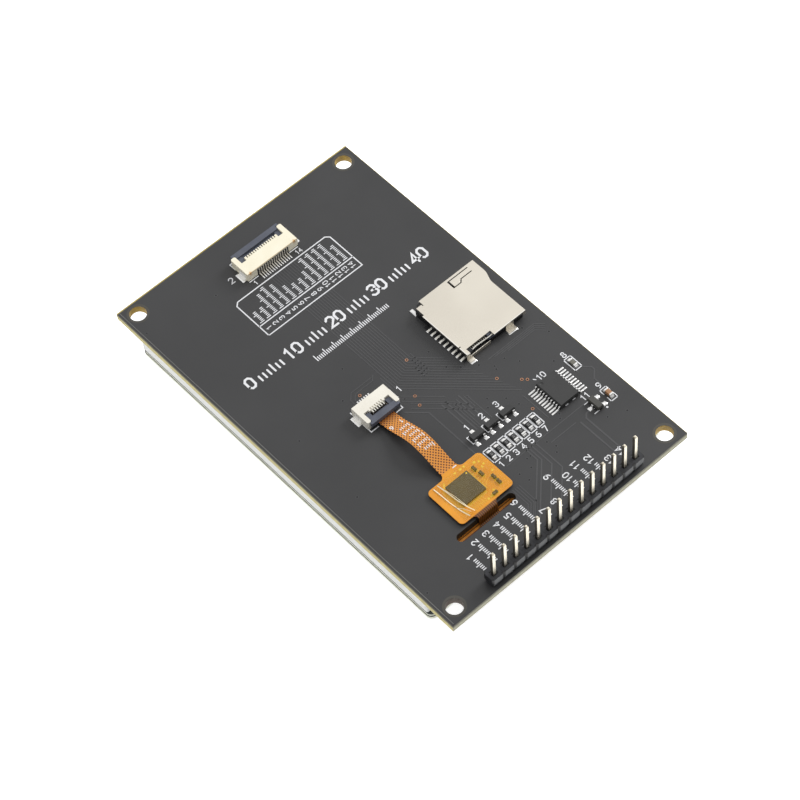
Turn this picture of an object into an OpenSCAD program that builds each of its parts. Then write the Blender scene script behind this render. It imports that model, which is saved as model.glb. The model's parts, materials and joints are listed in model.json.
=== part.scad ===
// Colour TFT display module with a capacitive touch panel, lying screen down.
// The circuit board is on top with its parts facing up; x runs across the short
// side, y along the long side, and z = 0 is the front face of the cover glass.

/* [Circuit board] */
// Short side of the board
board_w = 55.04; // [54:0.02:60]
// Long side of the board
board_l = 89.3; // [88:0.1:94]
// Thickness of the board
board_t = 1.6; // [1.2:0.1:2]
// Diameter of the four mounting holes
hole_d = 3.2; // [2.6:0.1:3.4]
// Hole centre to the long edge
hole_inset_x = 2.85; // [2.6:0.05:3.2]
// Hole centre to the short edge
hole_inset_y = 2.7; // [2.6:0.05:3.2]
// Length of the slot that the touch tail passes through
slot_l = 13.2; // [11:0.1:14]
// Width of that slot
slot_w = 1.75; // [1.6:0.05:2.2]
// Slot centre, across the board
slot_x = -9; // [-10:0.1:-8]
// Slot centre, up from the header edge
slot_from_edge = 11.72; // [11:0.02:12.5]

/* [Pin header] */
// Number of pins
header_pins_n = 14; // [4:1:16]
// Distance from pin to pin
header_pitch = 2.54; // [2:0.01:2.54]
// Side of a square pin
pin_side = 0.64; // [0.5:0.02:0.7]
// Height of the insulator above the board
header_h = 2.54; // [2:0.01:3]
// Bare pin above the insulator
pin_reach = 6.2; // [4:0.1:8]
// Pin tail below the board
pin_tail = 1.1; // [0.6:0.1:1.6]
// Pin row to the board's edge
header_inset = 1.8; // [1.6:0.05:2.2]

/* [Cover glass and touch sensor] */
// Cover glass edge inside the board's long edge
lens_side = 0.07; // [0.05:0.01:0.5]
// Cover glass past the backlight frame at its top end
lens_past_head = 0.3; // [0.1:0.05:0.6]
// Cover glass past the backlight frame at its header end
lens_past_foot = 1; // [0.8:0.05:1.4]
// Thickness of the cover glass
lens_t = 0.7; // [0.5:0.05:1.1]
// Corner radius of the cover glass
lens_r = 1.2; // [0.5:0.1:2.5]
// Thickness of the clear bond and of the printed border
bond_t = 0.05; // [0.04:0.01:0.1]
// Thickness of the touch sensor glass
sensor_t = 0.45; // [0.3:0.05:0.7]
// Printed border along each long side
border_side = 2.75; // [2:0.05:3.5]
// Printed border at the top of the picture
border_head = 4.05; // [3:0.05:5]
// Printed border at the header end
border_foot = 7.65; // [6:0.05:9]

/* [Display panel] */
// Backlight frame inside the board's long edge
frame_side = 0.17; // [0.15:0.01:0.6]
// Backlight frame to the board's top edge
frame_head = 6.5; // [6:0.05:7]
// Backlight frame to the board's header edge
frame_foot = 6.8; // [6.4:0.05:7.2]
// Thickness of the whole panel
panel_t = 2.2; // [2:0.05:2.6]
// Thickness of the foam gasket between sensor and panel
gasket_t = 0.25; // [0.15:0.05:0.5]
// Thickness of the tape that holds the panel to the board
tape_t = 0.4; // [0.36:0.02:0.6]
// Thickness of each glass of the cell
cell_glass_t = 0.45; // [0.3:0.05:0.5]
// Length of bare rear glass that carries the driver chip
ledge_l = 3.6; // [3.2:0.1:4]
// Number of lamps at the light guide's edge
led_n = 6; // [4:1:8]

/* [Flat cables] */
// Thickness of a flat cable
flex_t = 0.1; // [0.08:0.01:0.12]
// Width of the touch tail at its socket
tail_w = 3.4; // [3:0.05:3.5]
// Height of the hump in the touch tail
tail_hump = 2; // [1:0.1:3]
// Width of the touch cable where it folds through the slot
neck_w = 4.4; // [4:0.1:5]
// Width of the chip carrying end of the touch cable
pad_w = 12.25; // [11.6:0.05:12.6]
// Length of that end
pad_l = 9; // [8.6:0.1:9.4]
// Height of its foam pad above the board
pad_rise = 0.5; // [0.3:0.05:0.7]
// Width of the display's own flat cable
panel_flex_w = 32; // [30:0.5:34]

/* [Flat cable sockets] */
// Ways of the wide socket
wide_ways = 14; // [8:1:15]
// Ways of the narrow socket
narrow_ways = 6; // [6:1:8]
// Contact pitch of both sockets
socket_pitch = 0.5; // [0.48:0.01:0.52]
// Height of both housings
socket_h = 2; // [1.95:0.05:2.3]
// Gap between a latch and its housing
latch_gap = 0.06; // [0.04:0.01:0.1]

/* [Card socket] */
// Length of the shell, along the card's travel
card_l = 14.85; // [14.6:0.05:15.2]
// Width of the shell
card_w = 14.7; // [14.4:0.05:15]
// Height of the shell above the board
card_h = 1.9; // [1.85:0.05:2.2]
// Thickness of the shell's sheet
shell_t = 0.2; // [0.12:0.01:0.25]
// Travel of the push slider
card_travel = 2.8; // [2:0.1:2.9]

/* [Small parts] */
// Length of a chip resistor
chip_l = 1.6; // [1.4:0.05:1.8]
// Width of a chip resistor
chip_w = 0.8; // [0.6:0.05:0.9]
// Height of a chip resistor
chip_h = 0.45; // [0.35:0.05:0.6]
// Distance between resistors in the row
chip_pitch = 1.735; // [1.6:0.005:1.8]
// Leads on each side of the logic chip
logic_ways = 10; // [4:1:10]
// Lead pitch of the logic chip
logic_pitch = 0.65; // [0.6:0.01:0.65]
// Side of the touch controller
touch_chip_side = 4.95; // [4:0.05:5.2]

/* [Hidden] */
$fn = 32;
e = 0.01;                // overrun of a cut past the face that it opens
gap = 0.05;              // ordinary assembly clearance

// Heights of the layers, from the cover glass up to the board's top face
z_bond = lens_t;
z_sensor = z_bond + bond_t;
z_gasket = z_sensor + sensor_t;
z_panel = z_gasket + gasket_t;
z_back = z_panel + panel_t;
z_board = z_back + tape_t;
z_top = z_board + board_t;

edge_y = -board_l / 2;   // the header edge
hole_x = board_w / 2 - hole_inset_x;
hole_y = board_l / 2 - hole_inset_y;
header_y = edge_y + header_inset;
slot_y = edge_y + slot_from_edge;
bore_d = 1;              // plated hole for a header pin

// ---------------------------------------------------------------- shared forms

// Extrudes a profile drawn in the y-z plane to both sides of x = 0
module along_x(w) rotate([90, 0, 90]) linear_extrude(height = w, center = true) children();

// Extrudes a profile drawn in the x-z plane to both sides of y = 0
module along_y(l) rotate([90, 0, 0]) linear_extrude(height = l, center = true) children();

// A block from one corner to the other
module block(a, b) translate(a) cube(b - a);

// A rectangle with round corners, centred
module soft_rect(w, l, r) {
    square([w - 2 * r, l], center = true);
    square([w, l - 2 * r], center = true);
    for (sx = [-1, 1], sy = [-1, 1]) translate([sx * (w / 2 - r), sy * (l / 2 - r)]) circle(r);
}

function unit(v) = v / norm(v);
function turned(v) = [-v[1], v[0]];
function heading(p, i) = unit(p[min(i + 1, len(p) - 1)] - p[max(i - 1, 0)]);
function arc(c, r, a0, a1, n = 6) =
    [for (i = [0:n]) let (a = a0 + (a1 - a0) * i / n) c + r * [cos(a), sin(a)]];

// The outline of a strip of thickness t that follows the points p
function strip(p, t) = concat(
    [for (i = [0:len(p) - 1]) p[i] + turned(heading(p, i)) * t / 2],
    [for (i = [len(p) - 1:-1:0]) p[i] - turned(heading(p, i)) * t / 2]);

// A round wire of radius r swept along 3D points
function cross_dir(p, i) = let (d = unit(p[min(i + 1, len(p) - 1)] - p[max(i - 1, 0)]))
    [d, unit(cross(d, abs(d[2]) > 0.8 ? [0, 1, 0] : [0, 0, 1]))];
module wire(p, r, sides = 8) {
    rings = [for (i = [0:len(p) - 1]) let (f = cross_dir(p, i), u = f[1], v = cross(f[0], u))
        for (k = [0:sides - 1]) p[i] + r * (cos(360 * k / sides) * u + sin(360 * k / sides) * v)];
    n = len(p);
    polyhedron(rings, concat(
        [[for (k = [0:sides - 1]) k]],
        [for (i = [0:n - 2], k = [0:sides - 1]) let (m = (k + 1) % sides)
            [i * sides + k, (i + 1) * sides + k, (i + 1) * sides + m, i * sides + m]],
        [[for (k = [sides - 1:-1:0]) (n - 1) * sides + k]]));
}

// A moulded chip body: widest at its parting band, drawn in on all sides above and below
module moulded_body(w, l, z0, z1, band, draft = 0.1) {
    zm = (z0 + z1) / 2;
    function section(a) = [[-a / 2 + draft, z0], [a / 2 - draft, z0], [a / 2, zm - band / 2],
        [a / 2, zm + band / 2], [a / 2 - draft, z1], [-a / 2 + draft, z1],
        [-a / 2, zm + band / 2], [-a / 2, zm - band / 2]];
    intersection() {
        along_y(l) polygon(section(w));
        along_x(w) polygon(section(l));
    }
}

// A gull wing lead that leaves a body face at x = 0 and height zl, and stands on z = 0
module gull_lead(run, zl, width, t) {
    knee = run * 0.35;
    foot = run * 0.5;
    along_y(width) polygon([[0, zl - t / 2], [knee - t, zl - t / 2], [foot - t, 0], [run, 0], [run, t],
        [foot, t], [knee, zl + t / 2], [0, zl + t / 2]]);
}

// ---------------------------------------------------------------- board and header

module circuit_board() color([0.2, 0.2, 0.21]) translate([0, 0, z_board]) linear_extrude(board_t)
    difference() {
        square([board_w, board_l], center = true);
        for (sx = [-1, 1], sy = [-1, 1]) translate([sx * hole_x, sy * hole_y]) circle(d = hole_d);
        translate([slot_x, slot_y]) slot_outline();
        for (x = header_xs()) translate([x, header_y]) circle(d = bore_d);
    }

module slot_outline() {
    square([slot_l - slot_w, slot_w], center = true);
    for (s = [-1, 1]) translate([s * (slot_l - slot_w) / 2, 0]) circle(d = slot_w);
}

function header_xs() = [for (i = [0:header_pins_n - 1]) (i - (header_pins_n - 1) / 2) * header_pitch];

header_waist = 1.1;      // height of the narrow foot of the insulator
header_chamfer = 0.3;    // corner cut of each cell
header_foot = 2;         // width of the foot
pin_well = 1.2;          // side of the shallow well round each pin
pin_well_depth = 0.3;
pin_fit = 0.01;          // gap round a pin in the insulator

module header_cell() {
    a = header_pitch / 2;
    c = header_chamfer;
    polygon([[-a, -a + c], [-a + c, -a], [a - c, -a], [a, -a + c],
        [a, a - c], [a - c, a], [-a + c, a], [-a, a - c]]);
}

module header_body() color([0.12, 0.12, 0.13]) translate([0, header_y, z_top]) difference() {
    union() {
        translate([0, 0, header_waist]) linear_extrude(header_h - header_waist)
            for (x = header_xs()) translate([x, 0]) header_cell();
        block([-header_pins_n * header_pitch / 2 + 0.3, -header_foot / 2, 0],
            [header_pins_n * header_pitch / 2 - 0.3, header_foot / 2, header_waist]);
    }
    for (x = header_xs()) translate([x, 0, 0]) {
        side = pin_side + 2 * pin_fit;
        block([-side / 2, -side / 2, -e], [side / 2, side / 2, header_h + e]);
        block([-pin_well / 2, -pin_well / 2, header_h - pin_well_depth],
            [pin_well / 2, pin_well / 2, header_h + e]);
    }
}

// One square pin, its tip and tail cut to a blunt point on all four sides
module pin() {
    top = header_h + pin_reach;
    bottom = -board_t - pin_tail;
    c = pin_side * 0.28;
    a = pin_side / 2;
    function side() = [[-a, bottom + c], [-a + c, bottom], [a - c, bottom], [a, bottom + c],
        [a, top - c * 1.6], [a - c, top], [-a + c, top], [-a, top - c * 1.6]];
    intersection() {
        along_x(pin_side) polygon(side());
        along_y(pin_side) polygon(side());
    }
}

module header_pins() color([0.85, 0.83, 0.76]) for (x = header_xs()) translate([x, header_y, z_top]) pin();

// Solder fills each plated hole and stands as a cone round the tail below the board
cone_h = 0.85;
cone_tip = 0.42;         // radius at the tip
cone_land = 0.4;         // ring of the pad past the bore
solder_fit = 0.02;
module header_solder() color([0.78, 0.78, 0.8]) for (x = header_xs()) translate([x, header_y, z_board])
    difference() {
        rotate_extrude() polygon([[0, -cone_h], [cone_tip, -cone_h], [cone_tip + 0.08, -cone_h / 2],
            [bore_d / 2 + cone_land, 0], [bore_d / 2 - solder_fit, 0],
            [bore_d / 2 - solder_fit, board_t], [0, board_t]]);
        cube([pin_side, pin_side, 2 * (board_t + 1)], center = true);
    }

// ---------------------------------------------------------------- flat cable sockets
// Each socket is drawn with its tails towards -y and its mouth towards +y.
// [ways, half width, arm width, depth of the middle, depth of the shoulders, depth of the arms,
//  reach of the contact tips past the middle]
wide = [wide_ways, (wide_ways - 1) * socket_pitch / 2 + 2.68, 1, 3.5, 2.75, 4.8, -0.1];
narrow = [narrow_ways, (narrow_ways - 1) * socket_pitch / 2 + 2.48, 0.85, 2.6, 2.3, 4.4, 0.55];
wide_inset = 11.3;       // tail side of the wide socket to the board's top edge
cable_run = 31.58;       // slot to the tail side of the narrow socket
wide_at = [0.12, -edge_y - wide_inset];
narrow_at = [slot_x + 1.17, slot_y + cable_run];   // turned to face -y

socket_floor = 0.45;     // top of the housing's floor in front of the contacts
socket_stand = 0.05;     // gap under the housing
contact_t = 0.2;         // thickness of a contact
contact_fit = 0.02;      // gap beside a contact
cable_z = 0.85;          // middle of the inserted cable
mouth_z0 = 0.5;          // the cable's way in, bottom and top
mouth_z1 = 1.15;
mouth_back = 1;          // how near to the tail side the cable's end comes
roof_z = socket_h - 0.2; // underside of the housing's roof
pivot_z = 1.4;           // height of the latch's pivots
pivot_back = 1.2;        // pivots behind the ends of the arms
pivot_r = 0.2;
pivot_fit = 0.04;
latch_z0 = 0.98;         // underside of the closed latch
latch_top = socket_h - 0.05;
lip_reach = 0.6;         // latch past the ends of the arms
latch_offset = max(0.65, socket_h - pivot_z + gap);  // bar in front of the pivots
ear_back = 0.7;          // ears of the latch behind the pivots
ear_h = 0.25;            // half height of an ear
anchor_l = 1.8;          // length of a solder anchor
anchor_t = 0.2;
anchor_foot = 0.6;
anchor_y = 0.7;          // from the tail side
anchor_h = socket_h * 0.6;

function ways(s) = s[0];
function half_w(s) = s[1];
function inner(s) = s[1] - s[2];                 // inside face of an arm
function tongue(s) = (ways(s) - 1) * socket_pitch / 2 + 0.55;
function arm_d(s) = s[5];
function pivot_y(s) = s[5] - pivot_back;
function contact_xs(s) = [for (i = [0:ways(s) - 1]) (i - (ways(s) - 1) / 2) * socket_pitch];

module place_wide() translate([wide_at[0], wide_at[1], z_top]) children();
module place_narrow() translate([narrow_at[0], narrow_at[1], z_top]) rotate([0, 0, 180]) children();

module socket_housing(s) color([0.93, 0.91, 0.85]) difference() {
    union() {
        block([-half_w(s), 0, socket_stand], [half_w(s), s[4], socket_h]);
        block([-tongue(s), 0, socket_stand], [tongue(s), s[3], socket_h]);
        block([-inner(s) - e, 0, socket_stand], [inner(s) + e, arm_d(s) - 0.7, socket_floor]);
        for (m = [0, 1]) mirror([m, 0, 0]) translate([0, 0, socket_stand])
            linear_extrude(socket_h - socket_stand) {
            translate([inner(s), 0]) square([s[2], arm_d(s) - 0.3]);
            translate([inner(s) + 0.3, 0]) square([s[2] - 0.6, arm_d(s)]);
            for (x = [inner(s) + 0.3, half_w(s) - 0.3]) translate([x, arm_d(s) - 0.3]) circle(0.3);
        }
    }
    cable_w = (ways(s) + 1) * socket_pitch + 2 * gap;
    block([-cable_w / 2, mouth_back, mouth_z0], [cable_w / 2, arm_d(s) + e, mouth_z1]);
    for (x = contact_xs(s)) translate([x, 0, 0]) {
        w = contact_t / 2 + contact_fit;
        block([-w, -e, -e], [w, 0.4, 0.62]);
        block([-w, 0.3, 0.18], [w, s[3] + e, roof_z]);
        block([-w, s[3] - 0.5, 0.18], [w, s[3] + e, socket_h + e]);
    }
    for (m = [0, 1]) mirror([m, 0, 0]) {
        translate([inner(s) - e, pivot_y(s), pivot_z]) rotate([0, 90, 0])
            cylinder(r = pivot_r + pivot_fit, h = 0.45);
        anchor_slot(s);
    }
}

module anchor_slot(s) block([half_w(s) - anchor_t - contact_fit, anchor_y - contact_fit, -e],
    [half_w(s) + e, anchor_y + anchor_l + contact_fit, anchor_h + contact_fit]);

// A fork of sheet metal: its tail on the board, one arm under the cable and one over it
module contact(s) {
    tip = s[3] + s[6];
    bottom = socket_stand + 0.15;
    web = 0.75;          // back of the opening between the two arms
    along_x(contact_t) polygon([[-0.8, 0], [0.25, 0], [0.35, bottom],
        [s[3] - 0.4, bottom], [s[3] - 0.4, 0.42], [web, 0.42], [web, 1.35],
        [tip - 0.45, 1.35], [tip - 0.3, 1.2], [tip - 0.1, 1.2], [tip, 1.5],
        [tip, roof_z - contact_fit], [0.35, roof_z - contact_fit], [0.32, 0.6], [0.1, 0.15], [-0.8, 0.15]]);
}

module contacts(s) color([0.86, 0.84, 0.78]) for (x = contact_xs(s)) translate([x, 0, 0]) contact(s);

module latch(s) color([0.32, 0.33, 0.37]) {
    reach = inner(s) - latch_gap;
    y0 = pivot_y(s) + latch_offset;
    y1 = arm_d(s) + lip_reach;
    block([-reach, y0, latch_z0], [reach, y1, latch_top]);
    // the ends of the lip reach in front of the arms, hollowed to swing clear of them
    difference() {
        block([-half_w(s) + 0.45, arm_d(s) + gap, latch_z0], [half_w(s) - 0.45, y1, latch_top]);
        for (m = [0, 1]) mirror([m, 0, 0]) translate([reach, pivot_y(s), pivot_z]) rotate([0, 90, 0])
            cylinder(r = norm([pivot_back, socket_h - pivot_z]) + pivot_fit, h = half_w(s));
    }
    block([-reach, pivot_y(s) + 0.12, latch_z0], [reach, y0 + e, pivot_z - 0.05]);
    for (m = [0, 1]) mirror([m, 0, 0]) {
        // an ear fills the recess beside the fingers, back to the shoulder
        block([tongue(s) + latch_gap, pivot_y(s) - ear_back, pivot_z - ear_h],
            [reach, y0 + e, pivot_z + ear_h]);
        translate([tongue(s) + latch_gap, pivot_y(s), pivot_z]) rotate([0, 90, 0])
            cylinder(r = pivot_r, h = reach - tongue(s) + 0.35);
    }
}

module anchors(s) color([0.82, 0.82, 0.82])
    for (m = [0, 1]) mirror([m, 0, 0]) translate([half_w(s), anchor_y, 0]) {
        block([-anchor_t, 0, 0], [0, anchor_l, anchor_h]);
        block([-e, 0, 0], [anchor_foot, anchor_l, 0.15]);
    }

module wide_socket() place_wide() socket_housing(wide);
module wide_contacts() place_wide() contacts(wide);
module wide_latch() place_wide() latch(wide);
module wide_anchors() place_wide() anchors(wide);
module narrow_socket() place_narrow() socket_housing(narrow);
module narrow_contacts() place_narrow() contacts(narrow);
module narrow_latch() place_narrow() latch(narrow);
module narrow_anchors() place_narrow() anchors(narrow);

// ---------------------------------------------------------------- card socket
// Drawn on the board: the card goes in from +x and pushes the slider towards -x.
card_inset = 2.07;       // mouth of the shell to the board's long edge
card_from_edge = 52.15;  // far side of the shell to the header edge
card_x1 = board_w / 2 - card_inset;
card_x0 = card_x1 - card_l;      // rear edge of the shell
card_y1 = edge_y + card_from_edge;
card_y0 = card_y1 - card_w;
card_roof = card_h - shell_t;
rail_w = 1;              // width of the far guide rail
lane_w = 1.25;           // width of the slider's lane
lane_floor = 0.35;
lane_y = card_y0 + 0.3;  // outer side of the lane
block_l = 1.5;           // length of the rear block
card_pitch = 1.095;      // contact pitch
card_ways = 8;
card_first_y = card_y1 - 4.98;   // contact furthest from the lane
finger_w = 0.4;
finger_t = 0.12;
finger_reach = 6.1;      // rear edge of the shell to the fingertips
slit = 0.2;              // width of the punched slits
tongue_x = card_x0 + 8.2;       // rear end of the spring tongue's slits
foot_l = 1.6;            // length of a far foot
foot_out = 0.85;         // how far a foot is turned out onto the board
corner_foot = [0.2, 1.3, 0.65];  // foot of the near rear corner: from, to, how far out
window_x = card_x0 + 0.75;      // window over the lane
window_run = 5.75;
corner_l = 1.8;          // cut out rear corner
slider_l = 5.5;
slider_gap = 0.05;
spring_l = 3.9;
spring_r = 0.36;         // to the middle of the spring wire
spring_wire = 0.07;      // radius of the spring wire
spring_turns = 9;
cam_wire_r = 0.12;

slider_x = card_x0 + 0.15 + block_l + spring_l;
slider_top = card_roof - 0.4;
spring_z = lane_floor + 0.1 + spring_r + spring_wire;
spring_y = lane_y + 0.8;

module card_place() translate([0, 0, z_top]) children();

// The front edge steps back in a soft S, as the end of a memory card does
lip_y = card_y1 - 3.1;   // where the step starts
lip_l = 3;
lip_step = 0.8;
function lip_x(y) = let (t = max(0, min(1, (lip_y - y) / lip_l)))
    card_x1 - lip_step * (1 - cos(180 * t)) / 2;

module shell_top() difference() {
    polygon(concat([[card_x0, card_y0], [card_x1 - lip_step, card_y0]],
        [for (i = [0:8]) let (y = lip_y - lip_l * (1 - i / 8)) [lip_x(y), y]],
        [[card_x1, card_y1], [card_x0, card_y1]]));
    // cut out corner over the rear foot, and the small reliefs beside the bends
    translate([card_x0 - e, card_y1 - 0.9]) square([corner_l, 1]);
    translate([card_x0 + corner_l - slit, card_y1 - 1.3]) square([slit, 0.5]);
    translate([card_x0 - e, card_y1 - 2.95]) square([2 * slit, 2.1]);
    translate([card_x0 - e, card_y0 + 2.1]) square([2 * slit, slit]);
    // window over the spring lane
    translate([window_x, card_y0 - e]) square([window_run, 1.15]);
    // slits round the spring tongue
    translate([tongue_x, card_y1 - 0.65]) square([4.9, slit]);
    translate([tongue_x, card_y1 - 2.35]) square([2 * slit, 1.9]);
    translate([tongue_x, card_y1 - 2.35]) square([1.9, slit]);
    translate([tongue_x + 1.85, card_y1 - 2.35]) rotate(48) square([0.95, slit]);
    translate([tongue_x + 2.4, card_y1 - 1.75]) square([2.55, slit]);
}

// A wall piece that hangs from the roof, with a foot turned out onto the board
module shell_foot(x0, x1, y, out) {
    block([x0, min(y, y - out * shell_t), 0], [x1, max(y, y - out * shell_t), card_roof + e]);
    block([x0, min(y - out * e, y + out * foot_out), 0], [x1, max(y - out * e, y + out * foot_out), shell_t]);
}

module card_shell() color([0.9, 0.88, 0.84]) card_place() {
    translate([0, 0, card_roof]) linear_extrude(shell_t) shell_top();
    // far side wall, with two feet
    block([card_x0 + corner_l, card_y1 - shell_t, 0.1], [card_x1 - 0.3, card_y1, card_roof + e]);
    for (x = [card_x0 + 2.6, card_x1 - 2.8 - foot_l]) shell_foot(x, x + foot_l, card_y1, 1);
    // near side: one middle foot, the front corner and the low wall beside the lane
    shell_foot(card_x0 + 9.3, card_x0 + 11.2, card_y0, -1);
    block([card_x1 - 1.4, card_y0, card_h * 0.45], [card_x1 - 0.8, card_y0 + shell_t, card_roof + e]);
    block([card_x0, card_y0, 0.1], [window_x + window_run - 0.9, card_y0 + shell_t * 0.6, card_h / 2]);
    // rear corners
    block([card_x0, card_y0, 0], [window_x, card_y0 + shell_t, card_roof + e]);
    block([card_x0 + corner_foot[0], card_y0 - corner_foot[2], 0],
        [card_x0 + corner_foot[1], card_y0 + e, shell_t]);
    block([card_x0, card_y1 - 2.1, card_roof - 0.6], [card_x0 + 0.15, card_y1 - 2.95 + 0.85 + e, card_roof]);
}

module card_base() color([0.2, 0.2, 0.22]) card_place() difference() {
    back = card_x0 + 0.15;
    front = card_x1 - 1.3;
    union() {
        block([back, card_y0 + shell_t + gap, 0.03], [back + block_l, card_y1 - shell_t - gap, card_roof]);
        block([back, card_y0 + shell_t + gap, 0.03], [front, card_y1 - shell_t - gap, lane_floor]);
        block([back, card_y1 - shell_t - gap - rail_w, 0.03], [front, card_y1 - shell_t - gap, card_roof]);
        block([back + block_l - e, lane_y + lane_w, 0.03], [front - 5.4, lane_y + lane_w + 0.2, 0.9]);
        block([back, card_y0 + shell_t + gap, 0.03], [front, lane_y, 0.85]);
    }
    // well under the contact fingers
    block([back + block_l, card_first_y - (card_ways - 1) * card_pitch - 0.4, -e],
        [back + block_l + 5.2, card_first_y + 0.4, lane_floor + e]);
    // a channel through the rear block for each finger
    for (y = card_ys()) block([back - e, y - finger_w / 2 - contact_fit, -e],
        [back + block_l + e, y + finger_w / 2 + contact_fit, 0.5]);
    // the cut out rear corner
    block([back - e, card_y1 - 0.95, -e], [back + 0.9, card_y1, card_roof + e]);
}

function card_ys() = [for (i = [0:card_ways - 1]) card_first_y - i * card_pitch];

// Each finger runs from its tail on the board through the block and rises to the card
module card_contacts() color([0.88, 0.86, 0.82]) card_place() for (y = card_ys()) translate([0, y, 0])
    along_y(finger_w) polygon(strip([[card_x0 - 0.75, 0.075], [card_x0 + 0.25, 0.075], [card_x0 + 0.45, 0.3],
        [card_x0 + block_l + 0.3, 0.3], [card_x0 + finger_reach - 0.9, 1.05],
        [card_x0 + finger_reach - 0.5, 1.1], [card_x0 + finger_reach, 0.85]], finger_t));

// The slider: a nose that meets the card, a lug in its notch, and the track of the cam wire
module card_slider() color([0.34, 0.35, 0.4]) card_place() difference() {
    y0 = lane_y + slider_gap;
    y1 = lane_y + lane_w - slider_gap;
    union() {
        block([slider_x, y0, lane_floor + slider_gap], [slider_x + slider_l, y1, slider_top]);
        block([slider_x, spring_y - 0.3, slider_top - e], [slider_x + 0.8, spring_y + 0.3, card_roof - 0.1]);
        block([slider_x + slider_l - 1.6, y1 - e, 0.95], [slider_x + slider_l, y1 + 1, slider_top]);
        block([slider_x + slider_l - 0.5, y1 - e, 0.95], [slider_x + slider_l + 0.4, y1 + 0.5, slider_top]);
    }
    translate([slider_x + 1.5, y0 + 0.1, slider_top - 0.45]) difference() {
        cube([card_travel + 0.6, y1 - y0 - 0.25, 0.5]);
        translate([1, 0.62, -e]) linear_extrude(0.6)
            polygon([[0, 0.15], [0.7, 0], [1.5, 0.15], [1.3, 0.4], [0.6, 0.3]]);
    }
}

module card_spring() color([0.8, 0.8, 0.82]) card_place() {
    n = spring_turns * 12;
    length = spring_l - 2 * (spring_wire + 0.01);
    wire([for (i = [0:n]) [slider_x - spring_l + spring_wire + 0.01 + length * i / n,
        spring_y + spring_r * cos(360 * spring_turns * i / n),
        spring_z + spring_r * sin(360 * spring_turns * i / n)]], spring_wire, 6);
}

// Its rear end is held in the block, its front end is turned down into the slider's track
module card_cam_wire() color([0.85, 0.85, 0.86]) card_place() {
    z = card_roof - cam_wire_r - 0.06;
    x = card_x0 + 0.15 + block_l;
    y = lane_y + 0.1;
    tip = slider_x + 1.5 + 0.3;
    wire([[x + 0.02, y + 0.12, z], [x + 0.6, y + 0.22, z], [x + 1.2, y + 0.27, z], [x + 2.4, y + 0.2, z],
        [slider_x - 0.2, y + 0.1, z], [slider_x + 1, y + 0.14, z], [tip - 0.15, y + 0.27, z],
        [tip, y + 0.3, z - 0.15], [tip, y + 0.3, slider_top - 0.35]], cam_wire_r);
}

// ---------------------------------------------------------------- small parts on the board
lead_t = 0.15;
logic_at = [board_w / 2 - 9.94, edge_y + 21.9];
logic_w = 4.4;
logic_l = (logic_ways - 1) * logic_pitch + 0.65;
logic_z0 = 0.1;
logic_z1 = 1.1;
logic_span = 6.4;
sot_w = 1.3;             // small outline body with three leads
sot_l = 2.9;
sot_z0 = 0.08;
sot_z1 = 1.05;
sot_span = 2.5;
sot_pitch = 1.9;
regulator_at = [board_w / 2 - 7.22, edge_y + 15.25];
transistor_y = edge_y + 24.8;
transistor_at = [for (x = [1.08, 4.55, 8.05]) [x, transistor_y]];
resistor_y = edge_y + 20.2;
resistor_x = 0.22;       // first of the row of seven
lone_resistor_at = [board_w / 2 - 3.95, edge_y + 24.3];
capacitor_at = [board_w / 2 - 3.97, edge_y + 15.3];
capacitor_h = 0.8;
cap_wrap = 0.3;          // length of the metal on each end of a chip

module on_board(at) translate([at[0], at[1], z_top]) children();

module logic_chip() color([0.3, 0.3, 0.31]) on_board(logic_at) difference() {
    moulded_body(logic_w, logic_l, logic_z0, logic_z1, lead_t);
    translate([-logic_w / 2 + 0.75, logic_l / 2 - 0.75, logic_z1 - 0.08]) cylinder(d = 0.6, h = 1);
}

module logic_leads() color([0.86, 0.86, 0.86]) on_board(logic_at) for (m = [0, 1], i = [0:logic_ways - 1])
    mirror([m, 0, 0]) translate([logic_w / 2, (i - (logic_ways - 1) / 2) * logic_pitch, 0])
        gull_lead((logic_span - logic_w) / 2, (logic_z0 + logic_z1) / 2, 0.24, lead_t);

// Long axis along x, one lead on the +y side and two on the -y side
module sot_body() color([0.26, 0.26, 0.27]) moulded_body(sot_l, sot_w, sot_z0, sot_z1, lead_t);

module sot_leads() color([0.86, 0.86, 0.86]) {
    run = (sot_span - sot_w) / 2;
    zl = (sot_z0 + sot_z1) / 2;
    translate([0, sot_w / 2, 0]) rotate([0, 0, 90]) gull_lead(run, zl, 0.42, lead_t);
    for (s = [-1, 1]) translate([s * sot_pitch / 2, -sot_w / 2, 0]) rotate([0, 0, -90])
        gull_lead(run, zl, 0.42, lead_t);
}

module regulator() on_board(regulator_at) rotate([0, 0, 90]) sot_body();
module regulator_leads() on_board(regulator_at) rotate([0, 0, 90]) sot_leads();
module transistor(i) on_board(transistor_at[i]) sot_body();
module transistor_leads() for (at = transistor_at) on_board(at) sot_leads();

// A chip with its long axis along y: a ceramic block and a metal cap round each end
module chip_part(w, l, h, tint) color(tint) {
    block([-w / 2, -l / 2 + cap_wrap / 2, 0.02], [w / 2, l / 2 - cap_wrap / 2, h - 0.02]);
    for (s = [-1, 1]) translate([0, s * (l - cap_wrap) / 2, h / 2])
        cube([w + 0.03, cap_wrap, h], center = true);
}

function resistor_spot(i) = i < 7 ? [resistor_x + i * chip_pitch, resistor_y] : lone_resistor_at;
module resistor(i) on_board(resistor_spot(i)) chip_part(chip_w, chip_l, chip_h, [0.15, 0.15, 0.16]);
module supply_capacitor() on_board(capacitor_at) chip_part(chip_w, chip_l, capacitor_h, [0.66, 0.5, 0.38]);

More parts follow.
